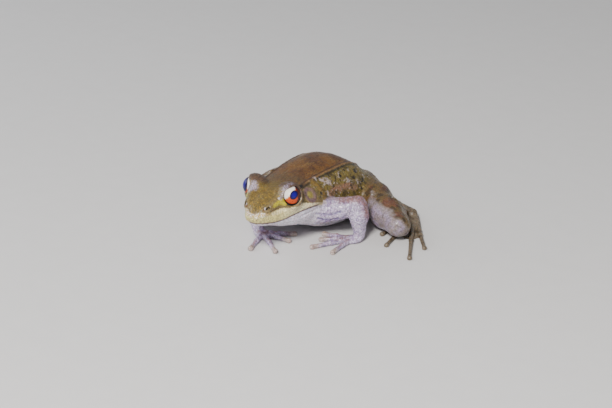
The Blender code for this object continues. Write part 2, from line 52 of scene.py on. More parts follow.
# The frog's own frame: X to its left, Y to its rear, Z up, in millimetres, with Y = 0 under the eyes
bodySizes = {
    "y": (-11.0, -10.2, -8.0, -4.0, 0.0, 4.0, 8.0, 12.0, 17.0, 22.0, 28.0, 34.0, 39.0, 42.5, 44.5),
    "halfWidth": (0.0, 1.9, 3.45, 5.3, 7.2, 8.8, 9.6, 9.8, 10.3, 11.2, 11.8, 11.0, 8.6, 5.4, 0.0),
    "widest": (13.0, 12.8, 12.4, 12.0, 11.8, 11.7, 11.4, 11.0, 10.2, 9.4, 8.6, 7.8, 6.8, 5.6, 4.2),
    "top": (13.0, 15.0, 16.3, 17.4, 17.9, 18.2, 18.5, 18.8, 19.2, 19.4, 18.7, 15.6, 11.4, 8.0, 4.2),
    "bottom": (13.0, 11.0, 9.9, 8.6, 7.1, 5.9, 4.7, 3.2, 1.1, -0.2, -0.6, -0.6, -0.2, 1.2, 4.2),
    "topFullness": (2.0, 2.0, 2.0, 2.0, 2.1, 2.2, 2.2, 2.2, 2.2, 2.1, 2.1, 2.1, 2.1, 2.0, 2.0),
    "bellyFullness": (2.0, 2.2, 2.5, 2.6, 2.6, 2.6, 2.7, 2.8, 2.9, 2.7, 2.5, 2.3, 2.2, 2.0, 2.0),
    "spineY": (-11.0, 0.0, 8.0, 15.0, 24.0, 34.0, 44.5),
    "spineX": (1.2, 0.0, -0.6, -0.8, -0.5, -0.1, 0.0),
    "foldY": (4.6, 7.0, 10.0, 14.0, 18.0, 22.0, 26.0, 30.0, 34.0, 38.0),
    "foldShare": (0.62, 0.62, 0.61, 0.62, 0.62, 0.6, 0.58, 0.56, 0.53, 0.48),
    "foldRadius": 0.7,
    "foldSunk": 0.35,
}

eyeSizes = {
    "centre": (5.7, 0.4, 17.0),
    "radius": 2.92,
    "socket": 2.95,
    "lidRadius": 3.85,
    "lidCentre": (5.45, 0.65, 16.6),
    "openingTurn": 57.0,
    "openingLift": 17.0,
    "openingLong": 60.0,
    "openingShort": 56.0,
    "openingLean": 30.0,
    "upperLidNormal": (-0.532, 0.081, 0.843),
    "upperLidHeight": 1.63,
    "gazeTurn": {1: 59.0, -1: 48.0},
    "gazeLift": 20.5,
    "rings": 48,
    "spokes": 72,
}

faceSizes = {
    "mouthY": (-11.0, -8.0, -4.0, 0.0, 3.5, 7.5, 11.0),
    "mouthZ": (11.9, 11.4, 11.0, 11.6, 12.1, 11.9, 11.4),
    "mouthCornerY": 10.0,
    "mouthDepth": 0.45,
    "mouthHalfHeight": 0.3,
    "jawSetBack": 0.32,
    "lipSwell": 0.25,
    "nostril": (3.1, -7.8, 15.6),
    "nostrilRadius": 0.36,
    "nostrilRim": 0.85,
    "canthusRadius": 1.1,
    "brow": (4.4, -2.6, 16.9),
    "cheek": (6.6, -4.6, 14.4),
    "cheekReach": (3.0, 2.6, 1.1),
    "cheekDepth": 0.4,
    "tympanum": (8.25, 7.3, 15.1),
    "tympanumRadius": 2.0,
    "tympanumRim": 0.22,
    "earFold": ((6.7, 10.9, 17.2), (7.7, 11.8, 16.2), (8.6, 12.3, 14.9), (9.3, 12.6, 13.6), (9.9, 12.6, 12.4)),
    "earFoldRadius": 0.75,
    "earFoldSunk": 0.45,
}

# places on the left side; the right side has the same ones a little moved
glands = (
    ((8.5, 16.3, 15.7), 1.1), ((9.5, 11.4, 13.3), 0.45), ((9.7, 14.4, 13.1), 0.55),
    ((10.4, 12.0, 11.7), 0.65), ((9.2, 18.3, 14.9), 0.4), ((8.2, 21.3, 16.6), 0.5),
    ((10.2, 23.5, 14.2), 0.75), ((7.7, 14.7, 16.5), 1.0), ((6.6, 12.7, 17.4), 0.75),
    ((10.6, 27.0, 12.6), 0.6), ((9.9, 31.0, 13.2), 0.55), ((11.1, 30.5, 10.6), 0.6),
    ((8.8, 25.6, 16.0), 0.45), ((9.6, 34.4, 10.8), 0.5),
)
inkSpots = (
    ((6.8, 14.6, 17.4), 0.5), ((7.5, 18.0, 17.1), 0.5), ((8.8, 21.9, 16.0), 0.62),
    ((9.1, 28.4, 15.3), 0.75), ((9.1, 11.7, 14.1), 0.42), ((9.6, 12.2, 13.0), 0.45),
    ((10.0, 13.0, 12.2), 0.42), ((10.2, 16.9, 11.8), 0.34), ((8.9, 19.2, 15.3), 0.34),
    ((8.2, 24.6, 16.6), 0.45), ((10.4, 26.0, 14.0), 0.5), ((10.9, 29.6, 12.6), 0.65),
    ((9.3, 32.6, 13.7), 0.55), ((10.5, 33.2, 10.6), 0.6), ((11.3, 27.8, 10.6), 0.5),
    ((8.6, 36.2, 10.6), 0.5),
)
creases = (
    (((7.0, -0.6, 10.1), (8.3, 4.0, 10.5), (9.3, 8.8, 10.6)), 0.2),
    (((9.4, 5.2, 11.6), (9.9, 8.0, 11.0), (10.2, 11.0, 10.6)), 0.16),
)

# under the left upper arm, where the chest shows below it
armCreases = (
    (((8.8, 8.8, 9.3), (9.8, 10.0, 8.85), (11.1, 10.9, 8.7), (12.6, 11.6, 9.05), (14.0, 12.4, 9.7)), 0.26),
    (((8.9, 9.4, 7.7), (10.2, 10.9, 7.0), (11.7, 12.0, 7.1), (13.4, 12.5, 7.8)), 0.18),
)

arms = {
    "left": {
        "shoulder": (7.3, 12.4, 8.3),
        "elbow": (16.9, 17.3, 11.0),
        "wrist": (17.3, 17.2, 1.8),
        "fingers": (78.0, 57.0, 36.0, 8.0),
    },
    "right": {
        "shoulder": (-7.8, 11.0, 8.0),
        "elbow": (-15.0, 14.6, 5.9),
        "wrist": (-8.8, 6.4, 1.7),
        "fingers": (115.0, 88.0, 54.0, 24.0),
    },
}
handSizes = {
    "lengths": (10.2, 10.4, 13.8, 11.2),
    "radii": (0.8, 0.62, 0.62 * 0.95, 0.78),
    "heights": (0.9, 0.85, 0.55),
    "knuckleShares": (0.5, 0.5),
    "rootJoin": 0.7,
    "knobs": (1.0, 0.5),
    "knobRise": 0.05,
    "knobScale": 1.05,
    "palmLength": 3.6,
    "palmHeight": 0.85,
    "halves": (3.6 * 0.72, 2.1, 1.0),
}

legs = {
    "left": {
        "hip": (5.4, 38.8, 7.0),
        "knee": (26.3, 22.6, 4.8),
        "ankle": (8.6, 43.6, 2.3),
        "sole": (22.2, 38.0, 1.3),
        "toes": (-16.0, -4.0, 9.0, 27.0, 36.0),
    },
    "right": {
        "hip": (-5.0, 39.8, 7.0),
        "knee": (-21.8, 24.0, 4.7),
        "ankle": (-7.0, 46.2, 2.3),
        "sole": (-18.8, 42.0, 1.3),
        "toes": (-34.0, -23.0, -14.0, -7.0, 2.0),
    },
}
footSizes = {
    "lengths": (8.0, 12.5, 18.5, 25.0, 18.0),
    "radii": (0.8, 0.6, 0.6 * 0.85, 0.72),
    "heights": (0.65, 0.58, 0.5),
    "knuckleShares": (0.45, 0.55),
    "rootJoin": 0.5,
    "knobs": (0.42, 0.72, 1.0),
    "knobRise": 0.04,
    "knobScale": 1.06,
    "spread": 0.95,
    "soleHeight": 0.75,
    "halves": (3.6, 2.3, 0.95),
    "webShare": 0.55,
    "webReach": 1.25,
    "webHeight": 0.35,
}

# the bends of each limb, as a share of the way between two joints and then out, back and up from there,
# its radii at them, how much is cut off its ends, and how smoothly its lengths join
limbs = {
    "upperArm": {
        "joints": ("shoulder", "elbow"),
        "bends": ((0.0, 0.0, 0.0, 0.0), (0.5, 0.0, 0.0, -0.3), (1.0, 0.0, 0.0, 0.0)),
        "radii": (3.3, 2.9, 2.35),
        "cut": (0.0, 0.5),
        "smooth": 1.0,
    },
    "forearm": {
        "joints": ("elbow", "wrist"),
        "bends": ((0.0, 0.0, 0.0, 0.0), (0.35, 0.2, -0.3, 0.0), (1.0, 0.0, 0.0, 0.0)),
        "radii": (2.3, 2.55, 1.6),
        "cut": (0.5, 0.4),
        "smooth": 1.0,
    },
    "thigh": {
        "joints": ("hip", "knee"),
        "bends": ((0.0, 0.0, 0.0, 0.0), (0.38, 0.0, -0.8, 0.2), (0.7, 0.0, -0.4, 0.2), (1.0, 0.0, 0.0, 0.0)),
        "radii": (3.9, 4.6, 4.3, 3.1),
        "cut": (0.0, 0.4),
        "smooth": 1.5,
    },
    "shank": {
        "joints": ("knee", "ankle"),
        "bends": ((0.0, 0.1, 1.2, -0.5), (0.36, 0.4, 0.6, -0.1), (0.76, 0.2, 0.2, -0.1), (1.0, 0.0, 0.0, 0.4)),
        "radii": (2.8, 3.3, 2.5, 1.9),
        "cut": (0.0, 0.6),
        "smooth": 1.2,
    },
    "tarsus": {
        "joints": ("ankle", "sole"),
        "bends": ((0.0, 0.0, 0.0, 0.0), (0.5, 0.0, 0.0, -0.1), (1.0, 0.0, 0.0, 0.3)),
        "radii": (1.9, 1.5, 1.7),
        "cut": (0.5, 0.4),
        "smooth": 0.8,
    },
}

skinSizes = {
    "step": 0.23,
    "quickStep": 0.4,
    "mostTriangles": 188000,
    "floorSnap": 0.05,
    "farOff": 3.0,
    "trunkBox": ((-15.5, -14.0, -2.0), (15.5, 47.5, 23.5)),
}


def point(values):
    return np.array(values, dtype=np.float64)


def unit(vector):
    return vector / np.linalg.norm(vector)


def mirrored(values, side):
    return point((abs(values[0]) * side, values[1], values[2]))


def onSide(line, side):
    return [mirrored(place, side) for place in line]


def upBy(height):
    return point((0.0, 0.0, height))


def blend(a, b, width):
    share = np.maximum(width - np.abs(a - b), 0.0) / width
    return np.minimum(a, b) - share * share * width * 0.25


def blendOut(a, b, width):
    return -blend(-a, -b, width)


def bump(distance, width):
    return np.exp(-((distance / width) ** 2))


def smoothStep(low, high, value):
    t = np.clip((value - low) / (high - low), 0.0, 1.0)
    return t * t * (3.0 - 2.0 * t)


def curveThrough(stations, values, at):
    stations = np.asarray(stations, dtype=np.float64)
    values = np.asarray(values, dtype=np.float64)
    slopes = np.gradient(values, stations)
    cell = np.clip(np.searchsorted(stations, at) - 1, 0, len(stations) - 2)
    span = stations[cell + 1] - stations[cell]
    t = np.clip((at - stations[cell]) / span, 0.0, 1.0)
    rise = t * t * (3.0 - 2.0 * t)
    leave = t * (1.0 - t) ** 2 * span * slopes[cell]
    arrive = -t * t * (1.0 - t) * span * slopes[cell + 1]
    return values[cell] * (1.0 - rise) + values[cell + 1] * rise + leave + arrive


def alongBody(y):
    # an angle, so that profiles close round at the snout and the rump
    front = bodySizes["y"][0]
    back = bodySizes["y"][-1]
    middle = (front + back) / 2.0
    return np.arccos(np.clip((middle - np.asarray(y)) / ((back - front) / 2.0), -1.0, 1.0))


def profile(name, y):
    return curveThrough(alongBody(bodySizes["y"]), bodySizes[name], alongBody(y))


def spineShift(y):
    return curveThrough(bodySizes["spineY"], bodySizes["spineX"], np.asarray(y, dtype=np.float64))


class Places:
    # places in space, as arrays of X, Y and Z, and the distance from them to simple forms

    def __init__(self, x, y, z):
        self.x = x
        self.y = y
        self.z = z

    def alongSpine(self):
        straight = copy.copy(self)
        straight.x = self.x - spineShift(self.y)
        return straight

    def fromPoint(self, centre):
        return self.x - centre[0], self.y - centre[1], self.z - centre[2]

    def sphere(self, centre, radius):
        dx, dy, dz = self.fromPoint(centre)
        return np.sqrt(dx * dx + dy * dy + dz * dz) - radius

    def ellipsoid(self, centre, lead, halfLength, halfWidth, halfHeight):
        dx, dy, dz = self.fromPoint(centre)
        along = dx * lead[0] + dy * lead[1]
        across = dx * lead[1] - dy * lead[0]
        scaled = np.sqrt((along / halfLength) ** 2 + (across / halfWidth) ** 2 + (dz / halfHeight) ** 2)
        radial = np.sqrt(along**2 + across**2 + dz**2)
        return radial * (1.0 - 1.0 / np.maximum(scaled, 1e-6))

    def taper(self, start, end, startRadius, endRadius):
        axis = end - start
        dx, dy, dz = self.fromPoint(start)
        t = (dx * axis[0] + dy * axis[1] + dz * axis[2]) / axis.dot(axis)
        t = np.clip(t, 0.0, 1.0)
        off = (dx - t * axis[0]) ** 2 + (dy - t * axis[1]) ** 2 + (dz - t * axis[2]) ** 2
        return np.sqrt(off) - (startRadius + t * (endRadius - startRadius))

    def chain(self, points, radii, width=0.0):
        radii = np.broadcast_to(radii, len(points))
        found = None
        for start, end, startRadius, endRadius in zip(points, points[1:], radii, radii[1:]):
            length = self.taper(start, end, startRadius, endRadius)
            if found is None:
                found = length
            elif width > 0.0:
                found = blend(found, length, width)
            else:
                found = np.minimum(found, length)
        return found

    def levelPlate(self, corners, height):
        middle = sum(corners) / len(corners)
        outline = None
        for start, end in zip(corners, corners[1:] + corners[:1]):
            edge = end - start
            normal = unit(np.array((edge[1], -edge[0])))
            if normal.dot(middle[:2] - start[:2]) > 0:
                normal = -normal
            side = (self.x - start[0]) * normal[0] + (self.y - start[1]) * normal[1]
            outline = side if outline is None else np.maximum(outline, side)
        return np.maximum(outline, self.z - height)


class Grid(Places):
    # evenly spaced places that fill a box, so that a field on them can be evened and meshed

    def __init__(self, low, high, step):
        self.step = step
        self.low = np.floor(point(low) / step) * step
        counts = np.ceil((point(high) - self.low) / step).astype(int) + 1
        self.axes = [(self.low[i] + step * np.arange(counts[i])).astype(np.float32) for i in range(3)]
        super().__init__(
            self.axes[0][:, None, None], self.axes[1][None, :, None], self.axes[2][None, None, :]
        )

    def part(self, low, high):
        # the places of this grid within a smaller box, and where they lie in it
        cut = []
        for i in range(3):
            first = int(np.clip(np.searchsorted(self.axes[i], low[i]), 0, len(self.axes[i]) - 2))
            last = int(np.clip(np.searchsorted(self.axes[i], high[i]), first + 2, len(self.axes[i])))
            cut.append(slice(first, last))
        piece = copy.copy(self)
        piece.x = self.x[cut[0]]
        piece.y = self.y[:, cut[1]]
        piece.z = self.z[:, :, cut[2]]
        return piece, tuple(cut)

    def evened(self, field):
        slope = np.sqrt(sum(g * g for g in np.gradient(field, self.step)))
        return field / np.maximum(slope, 0.2)


def foldLine(side):
    y = point(bodySizes["foldY"])
    share = point(bodySizes["foldShare"])
    fullness = profile("topFullness", y)
    x = profile("halfWidth", y) * share
    widest = profile("widest", y)
    rise = (1.0 - share**fullness) ** (1.0 / fullness)
    z = widest + (profile("top", y) - widest) * rise
    return [point((side * a, b, c)) for a, b, c in zip(x, y, z)]


def crossSection(places):
    # how far each place lies from the trunk, how far round it, and the nearest Y within the trunk
    y = np.clip(places.y, bodySizes["y"][0] + 0.03, bodySizes["y"][-1] - 0.03)
    kind = places.z.dtype
    halfWidth = profile("halfWidth", y).astype(kind)
    widest = profile("widest", y).astype(kind)
    up = places.z - widest
    reach = np.where(up > 0.0, profile("top", y) - widest, widest - profile("bottom", y)).astype(kind)
    fullness = np.where(up > 0.0, profile("topFullness", y), profile("bellyFullness", y)).astype(kind)
    out = np.abs(places.x)
    section = ((out / halfWidth) ** fullness + (np.abs(up) / reach) ** fullness) ** (1.0 / fullness)
    distance = np.sqrt(out * out + up * up) * (1.0 - 1.0 / np.maximum(section, 1e-6))
    return distance, np.arctan2(up / reach, out / halfWidth) / (math.pi / 2.0), y


def trunk(grid):
    field, around, y = crossSection(grid)
    beyond = grid.y - y
    field = np.sqrt(np.maximum(field, 0.0) ** 2 + beyond**2) + np.minimum(field, 0.0)
    return grid.evened(field.astype(np.float32))


def mouthHeight(y):
    return curveThrough(faceSizes["mouthY"], faceSizes["mouthZ"], np.asarray(y, dtype=np.float64))


def withMouth(places, field):
    above = places.z - mouthHeight(places.y)
    fade = 1.0 / (1.0 + np.exp(np.clip((places.y - faceSizes["mouthCornerY"]) / 0.4, -30.0, 30.0)))
    field = field - faceSizes["lipSwell"] * bump(above - 1.3, 1.1) * fade
    field = field + faceSizes["jawSetBack"] * fade / (1.0 + np.exp(np.clip(above / 0.15, -30.0, 30.0)))
    groove = np.maximum(1.0 - np.abs(above) / faceSizes["mouthHalfHeight"], 0.0)
    return field + faceSizes["mouthDepth"] * groove * fade


def withFace(places, field, side):
    nostril = mirrored(faceSizes["nostril"], side)
    radius = faceSizes["canthusRadius"]
    ridge = places.taper(nostril + upBy(-0.6), mirrored(faceSizes["brow"], side), radius * 0.9, radius)
    field = blend(field, ridge, 1.6)
    off = zip(places.fromPoint(mirrored(faceSizes["cheek"], side)), faceSizes["cheekReach"])
    field = field + faceSizes["cheekDepth"] * np.exp(-sum((d / reach) ** 2 for d, reach in off))
    field = blend(field, places.sphere(mirrored(eyeSizes["lidCentre"], side), eyeSizes["lidRadius"]), 1.0)
    rimCentre = nostril - point((side * 0.35, 0.0, 0.45))
    field = blend(field, places.sphere(rimCentre, faceSizes["nostrilRim"]), 0.5)
    slit = places.taper(
        nostril + point((side * 0.15, -0.45, -0.05)),
        nostril + point((side * 0.45, 0.25, 0.15)),
        faceSizes["nostrilRadius"] * 0.8,
        faceSizes["nostrilRadius"],
    )
    field = blendOut(field, -slit, 0.15)
    fromCentre = places.sphere(mirrored(faceSizes["tympanum"], side), 0.0)
    field = field - faceSizes["tympanumRim"] * bump(fromCentre - faceSizes["tympanumRadius"], 0.36)
    field = field + 0.22 * bump(fromCentre, 1.5) - 0.14 * bump(fromCentre, 0.5)
    fold = [p - point((side * 0.3, 0.0, bodySizes["foldSunk"])) for p in foldLine(side)]
    radii = np.full(len(fold), bodySizes["foldRadius"])
    radii[-1] = bodySizes["foldRadius"] * 0.5
    field = blend(field, places.chain(fold, radii), 0.5)
    sunk = point((side * faceSizes["earFoldSunk"], 0.0, 0.0))
    ear = [bend - sunk for bend in onSide(faceSizes["earFold"], side)]
    field = blend(field, places.chain(ear, faceSizes["earFoldRadius"], 0.4), 0.5)
    for line, radius in creases:
        field = blendOut(field, -places.chain(onSide(line, side), radius), 0.35)
    for place, radius in glands:
        near = places.sphere(mirrored(place, side), 0.0)
        field = field - 0.2 * bump(near, radius * 0.9)
    return field


def eyeAxis(side, turn, lift):
    turn = math.radians(turn)
    lift = math.radians(lift)
    return point((side * math.sin(turn) * math.cos(lift), -math.cos(turn) * math.cos(lift), math.sin(lift)))


def openedEye(places, field, side):
    eye = mirrored(eyeSizes["centre"], side)
    axis = eyeAxis(side, eyeSizes["openingTurn"], eyeSizes["openingLift"])
    dx, dy, dz = places.fromPoint(eye)
    along = dx * axis[0] + dy * axis[1] + dz * axis[2]
    rear = unit(np.cross(upBy(1.0), axis)) * side
    rise = np.cross(axis, rear) * side
    lean = math.radians(eyeSizes["openingLean"])
    longWay = rise * math.cos(lean) + rear * math.sin(lean)
    shortWay = rear * math.cos(lean) - rise * math.sin(lean)
    tall = dx * longWay[0] + dy * longWay[1] + dz * longWay[2]
    tall = tall / math.tan(math.radians(eyeSizes["openingLong"]))
    wide = dx * shortWay[0] + dy * shortWay[1] + dz * shortWay[2]
    wide = wide / math.tan(math.radians(eyeSizes["openingShort"]))
    cone = (np.sqrt(tall * tall + wide * wide) - along) * 0.75
    lid = eyeSizes["upperLidNormal"]
    aboveLidEdge = dx * lid[0] * side + dy * lid[1] + dz * lid[2] - eyeSizes["upperLidHeight"]
    opening = blendOut(cone, aboveLidEdge, 0.6)
    field = blendOut(field, -places.sphere(eye, eyeSizes["socket"]), 0.1)
    return blendOut(field, -opening, 0.3)


def limbField(places, joints, name, side):
    limb = limbs[name]
    start, end = [point(joints[joint]) for joint in limb["joints"]]
    bends = []
    for share, out, back, up in limb["bends"]:
        bends.append(start + (end - start) * share + point((side * out, back, up)))
    first, last = limb["cut"]
    cutStart = unit(bends[1] - bends[0]) * first
    bends[-1] = bends[-1] + unit(bends[-2] - bends[-1]) * last
    bends[0] = bends[0] + cutStart
    return places.chain(bends, limb["radii"], limb["smooth"])


def heading(degrees, side, inward):
    turn = math.radians(degrees) * inward
    return point((-side * math.sin(turn), -math.cos(turn), 0.0))


def digit(root, tip, bend, sizes):
    # a finger or a toe: its points from root to tip, and its radii at them
    rootShare, tipShare = sizes["knuckleShares"]
    knuckle = root * rootShare + tip * tipShare + bend
    root[2], knuckle[2], tip[2] = sizes["heights"]
    return [root, knuckle, tip - unit(tip - knuckle) * 0.9, tip], sizes["radii"]


def withDigits(places, field, digits, sizes):
    for points, radii in digits:
        field = blend(field, places.chain(points, radii, 0.3), sizes["rootJoin"])
        for share in sizes["knobs"]:
            knob = points[0] + (points[1] - points[0]) * share + upBy(sizes["knobRise"])
            field = blend(field, places.sphere(knob, radii[1] * sizes["knobScale"]), 0.4)
    return field


def fingerBones(arm, side):
    # the middle of the palm, the way it points, and the four fingers
    wrist = point(arm["wrist"])
    angles = arm["fingers"]
    lead = heading(sum(angles) / len(angles), side, 1.0)
    length = handSizes["palmLength"]
    palm = wrist * point((1.0, 1.0, 0.0)) + lead * length * 0.5 + upBy(handSizes["palmHeight"])
    fingers = []
    for angle, reach in zip(angles, handSizes["lengths"]):
        ray = heading(angle, side, 1.0)
        root = palm + unit(ray + lead * 0.6) * length * 0.25
        fingers.append(digit(root, wrist + ray * reach, 0.0, handSizes))
    return palm, lead, fingers


def handField(places, arm, side):
    palm, lead, fingers = fingerBones(arm, side)
    field = places.ellipsoid(palm, lead, *handSizes["halves"])
    return withDigits(places, field, fingers, handSizes)


def armFields(places, name, side):
    arm = arms[name]
    fields = [limbField(places, arm, limb, side) for limb in ("upperArm", "forearm")]
    return *fields, handField(places, arm, side)


def toeBones(leg, side):
    # the middle of the sole, the way it points, and the five toes
    angles = leg["toes"]
    lead = heading(angles[2], side, -1.0)
    across = point((-lead[1], lead[0], 0.0)) * side
    sole = point(leg["sole"]) * point((1.0, 1.0, 0.0)) + lead * 1.6 + upBy(footSizes["soleHeight"])
    toes = []
    for index, (angle, length) in enumerate(zip(angles, footSizes["lengths"])):
        root = sole + across * (index - 2) * footSizes["spread"]
        root[2] = footSizes["heights"][0]
        tip = root + heading(angle, side, -1.0) * length
        toes.append(digit(root, tip, across * (2 - index) * 0.1, footSizes))
    return sole, lead, toes


def footField(places, leg, side):
    sole, lead, toes = toeBones(leg, side)
    field = withDigits(places, places.ellipsoid(sole, lead, *footSizes["halves"]), toes, footSizes)
    edges = [(bones[0], (bones[-1] - bones[0]) * footSizes["webShare"]) for bones, radii in toes]
    for (rootA, wayA), (rootB, wayB) in zip(edges, edges[1:]):
        lengths = [np.linalg.norm(wayA), np.linalg.norm(wayB)]
        reach = min(lengths) * footSizes["webReach"]
        nearA, nearB = [
            root + unit(way) * min(reach, length)
            for root, way, length in zip((rootA, rootB), (wayA, wayB), lengths)
        ]
        web = places.levelPlate([rootA, nearA, nearB, rootB], footSizes["webHeight"])
        field = blend(field, web, 0.3)
    return field


def legFields(places, name, side):
    leg = legs[name]
    fields = [limbField(places, leg, limb, side) for limb in ("thigh", "shank", "tarsus")]
    return *fields, footField(places, leg, side)


sides = (("left", 1), ("right", -1))


def bodyField(places):
    spine = places.alongSpine()
    field = withMouth(spine, trunk(spine))
    for name, side in sides:
        field = withFace(spine, field, side)
    return field


def boxAround(points, room):
    stack = np.stack(points)
    return stack.min(axis=0) - room, stack.max(axis=0) + room


def limbBox(joints, digits, room):
    # the box around a limb's joints and the tips of its fingers or toes
    places = [point(place) for place in joints.values() if len(place) == 3]
    return boxAround(places + [bones[-1] for bones, radii in digits], room)


joinWidths = {"shoulder": 1.6, "elbow": 0.9, "wrist": 0.7, "hip": 1.8, "knee": 0.5, "ankle": 0.4, "sole": 0.7}


def joinedFlesh(grid):
    whole = np.full([len(axis) for axis in grid.axes], skinSizes["farOff"], dtype=np.float32)
    piece, cut = grid.part(*skinSizes["trunkBox"])
    whole[cut] = bodyField(piece)
    for name, side in sides:
        piece, cut = grid.part(*limbBox(arms[name], fingerBones(arms[name], side)[2], 5.5))
        upper, fore, hand = armFields(piece, name, side)
        arm = blend(blend(upper, fore, joinWidths["elbow"]), hand, joinWidths["wrist"])
        whole[cut] = blend(whole[cut], arm, joinWidths["shoulder"])
        piece, cut = grid.part(*limbBox(legs[name], toeBones(legs[name], side)[2], 6.5))
        thigh, shank, tarsus, foot = legFields(piece, name, side)
        haunch = blend(blend(whole[cut], thigh, joinWidths["hip"]), shank, joinWidths["knee"])
        foot = blend(tarsus, foot, joinWidths["sole"])
        whole[cut] = blend(haunch, foot, joinWidths["ankle"])
    for line, radius in armCreases:
        bends = onSide(line, 1)
        piece, cut = grid.part(*boxAround(bends, 1.5))
        whole[cut] = blendOut(whole[cut], -piece.chain(bends, radius), 0.4)
    for name, side in sides:
        eye = mirrored(eyeSizes["centre"], side)
        piece, cut = grid.part(eye - 6.0, eye + 6.0)
        whole[cut] = openedEye(piece.alongSpine(), whole[cut], side)
    return np.maximum(whole, -grid.z)


def largestPiece(count, quads):
    # marks the points of the largest connected surface
    edges = np.concatenate([quads[:, [0, 1]], quads[:, [1, 2]], quads[:, [2, 3]]])
    label = np.arange(count)
    while True:
        lowest = np.minimum(label[edges[:, 0]], label[edges[:, 1]])
        updated = label.copy()
        np.minimum.at(updated, edges[:, 0], lowest)
        np.minimum.at(updated, edges[:, 1], lowest)
        updated = updated[updated]
        if (updated == label).all():
            break
        label = updated
    names, sizes = np.unique(label, return_counts=True)
    return label == names[sizes.argmax()]


def evaluatedMesh(obj):
    graph = bpy.context.evaluated_depsgraph_get()
    return bpy.data.meshes.new_from_object(obj.evaluated_get(graph))


def meshOf(name, points, faces):
    mesh = bpy.data.meshes.new(name)
    mesh.from_pydata(points, [], faces)
    mesh.update()
    return mesh


def newPiece(name, mesh):
    obj = bpy.data.objects.new(name, mesh)
    bpy.context.scene.collection.objects.link(obj)
    return obj


def thinned(obj, triangles):
    modifier = obj.modifiers.new("thin", "DECIMATE")
    modifier.ratio = min(1.0, triangles / (2.0 * len(obj.data.polygons)))
    modifier.use_collapse_triangulate = True
    mesh = evaluatedMesh(obj)
    old = obj.data
    obj.modifiers.clear()
    obj.data = mesh
    bpy.data.meshes.remove(old)


def readVectors(items, name):
    found = np.empty(len(items) * 3, dtype=np.float32)
    items.foreach_get(name, found)
    return found.reshape(-1, 3).astype(np.float64)


def smoothShaded(mesh):
    mesh.polygons.foreach_set("use_smooth", np.ones(len(mesh.polygons), dtype=bool))
    mesh.update()


# Where the frog's own frame lies in the model's frame
eyeLow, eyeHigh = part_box("eye_left")
eyeMiddle = point((eyeLow + eyeHigh) / 2.0) / mm
eyePlace = point(eyeSizes["centre"]) + point((spineShift(eyeSizes["centre"][1]), 0.0, 0.0))
rowShift = (eyePlace - eyeMiddle) * point((1.0, 1.0, 0.0))
nodeBoxes = [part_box(name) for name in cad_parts]
rowLow = np.array([low for low, high in nodeBoxes]).min(axis=0) / mm + rowShift
rowHigh = np.array([high for low, high in nodeBoxes]).max(axis=0) / mm + rowShift
print("frame read, shift", [round(float(v), 3) for v in rowShift])


def toModel(points):
    return (points - rowShift) * mm


def toFrog(points):
    return points / mm + rowShift


def skinSurface():
    step = skinSizes["step"]
    grid = Grid(rowLow - 1.2, rowHigh + 1.2, step)
    field = joinedFlesh(grid)
    print("skin field ready", field.shape)
    volume = openvdb.FloatGrid(float(field.max()))
    volume.copyFromArray(field)
    points, quads = volume.convertToQuads(isovalue=0.0)
    points = points.astype(np.float64) * grid.step + grid.low
    kept = largestPiece(len(points), quads)
    index = np.cumsum(kept) - 1
    quads = index[quads[kept[quads[:, 0]]]]
    points = points[kept]
    obj = newPiece("frogSkin", meshOf("frogSkin", toModel(points), quads.tolist()))
    thinned(obj, skinSizes["mostTriangles"])
    obj.data.name = "frogSkin"
    print("skin meshed", len(obj.data.polygons))
    return obj


def noiseAt(points, size, seed):
    # smooth noise from -1 to 1, with lumps of about this size in millimetres
    offset = seed * 17.3
    moved = (points / size + point((offset, -offset, 0.0))).tolist()
    return np.array([mathutils.noise.noise(place) for place in moved])


headFoldHeights = {"y": (-11.0, -4.0, 0.0), "around": (0.62, 0.6, 0.6)}
lipBand = {
    "y": (-11.0, -9.3, -3.8, -1.5, 1.0, 3.9, 7.4, 10.0, 12.0),
    "height": (2.6, 3.2, 3.3, 3.3, 2.7, 1.9, 1.1, 0.7, 0.5),
}
# lilac patches in front of and over the eyes: partly the eyelids' own lilac, partly a painted reflection of
# light on the lid bulges
lidLilacAndSheenPatches = {
    1: (((5.1, -3.6, 17.5), (5.5, -2.7, 18.6), (5.3, -2.1, 19.3), (5.6, -1.0, 20.1), (6.2, 0.8, 20.3)),
        (0.1, 0.35, 0.45, 0.35, 0.15)),
    -1: (((4.8, -3.2, 17.4), (4.1, -2.6, 18.4), (4.3, -2.1, 19.1)), (0.7, 1.05, 0.6)),
}
# lines that colours follow, on the left side, each with its radii
skinLines = {
    "fromEarFold": (faceSizes["earFold"], 0.0),
    "fromEyeCorner": (((7.4, 3.3, 18.6), (6.3, 4.6, 17.6), (5.8, 6.5, 17.4)), 0.0),
    "fromNostril": (((3.2, -8.3, 15.6), (3.6, -7.5, 15.8)), 0.0),
    "fromPaleStripe": (
        ((4.1, -6.5, 15.8), (4.4, -5.8, 15.9), (4.9, -4.5, 16.1), (5.9, -3.0, 16.2)),
        (0.25, 0.6, 0.9, 1.05),
    ),
    "fromDarkStripe": (((2.7, -8.8, 15.4), (4.0, -6.9, 14.9), (5.4, -4.6, 14.7)), (0.28, 0.25, 0.12)),
    "fromPink": (((9.9, 15.3, 12.6), (9.9, 18.5, 13.3), (10.8, 23.0, 12.8), (11.5, 26.0, 11.4)), 0.95),
}
elbowTop = ((13.5, 15.2, 12.9), (16.6, 16.6, 13.2), (18.6, 17.6, 11.8), (19.2, 17.8, 8.5))
# painted highlights: pale spots by the nostril and in front of the eye, standing in for glints of light on the
# wet skin
glintSpots = ((3.1, -8.6, 15.9), (4.8, -4.0, 17.5))


def foldHeight(y):
    # how far round the body the fold lies, from 0 at the widest place to 1 on the back
    stations = point(bodySizes["foldY"])
    share = point(bodySizes["foldShare"])
    fullness = profile("topFullness", stations)
    around = np.arctan2((1.0 - share**fullness) ** (1.0 / fullness), share) / (math.pi / 2.0)
    stations = np.concatenate([headFoldHeights["y"], stations])
    return np.interp(y, stations, np.concatenate([headFoldHeights["around"], around]))


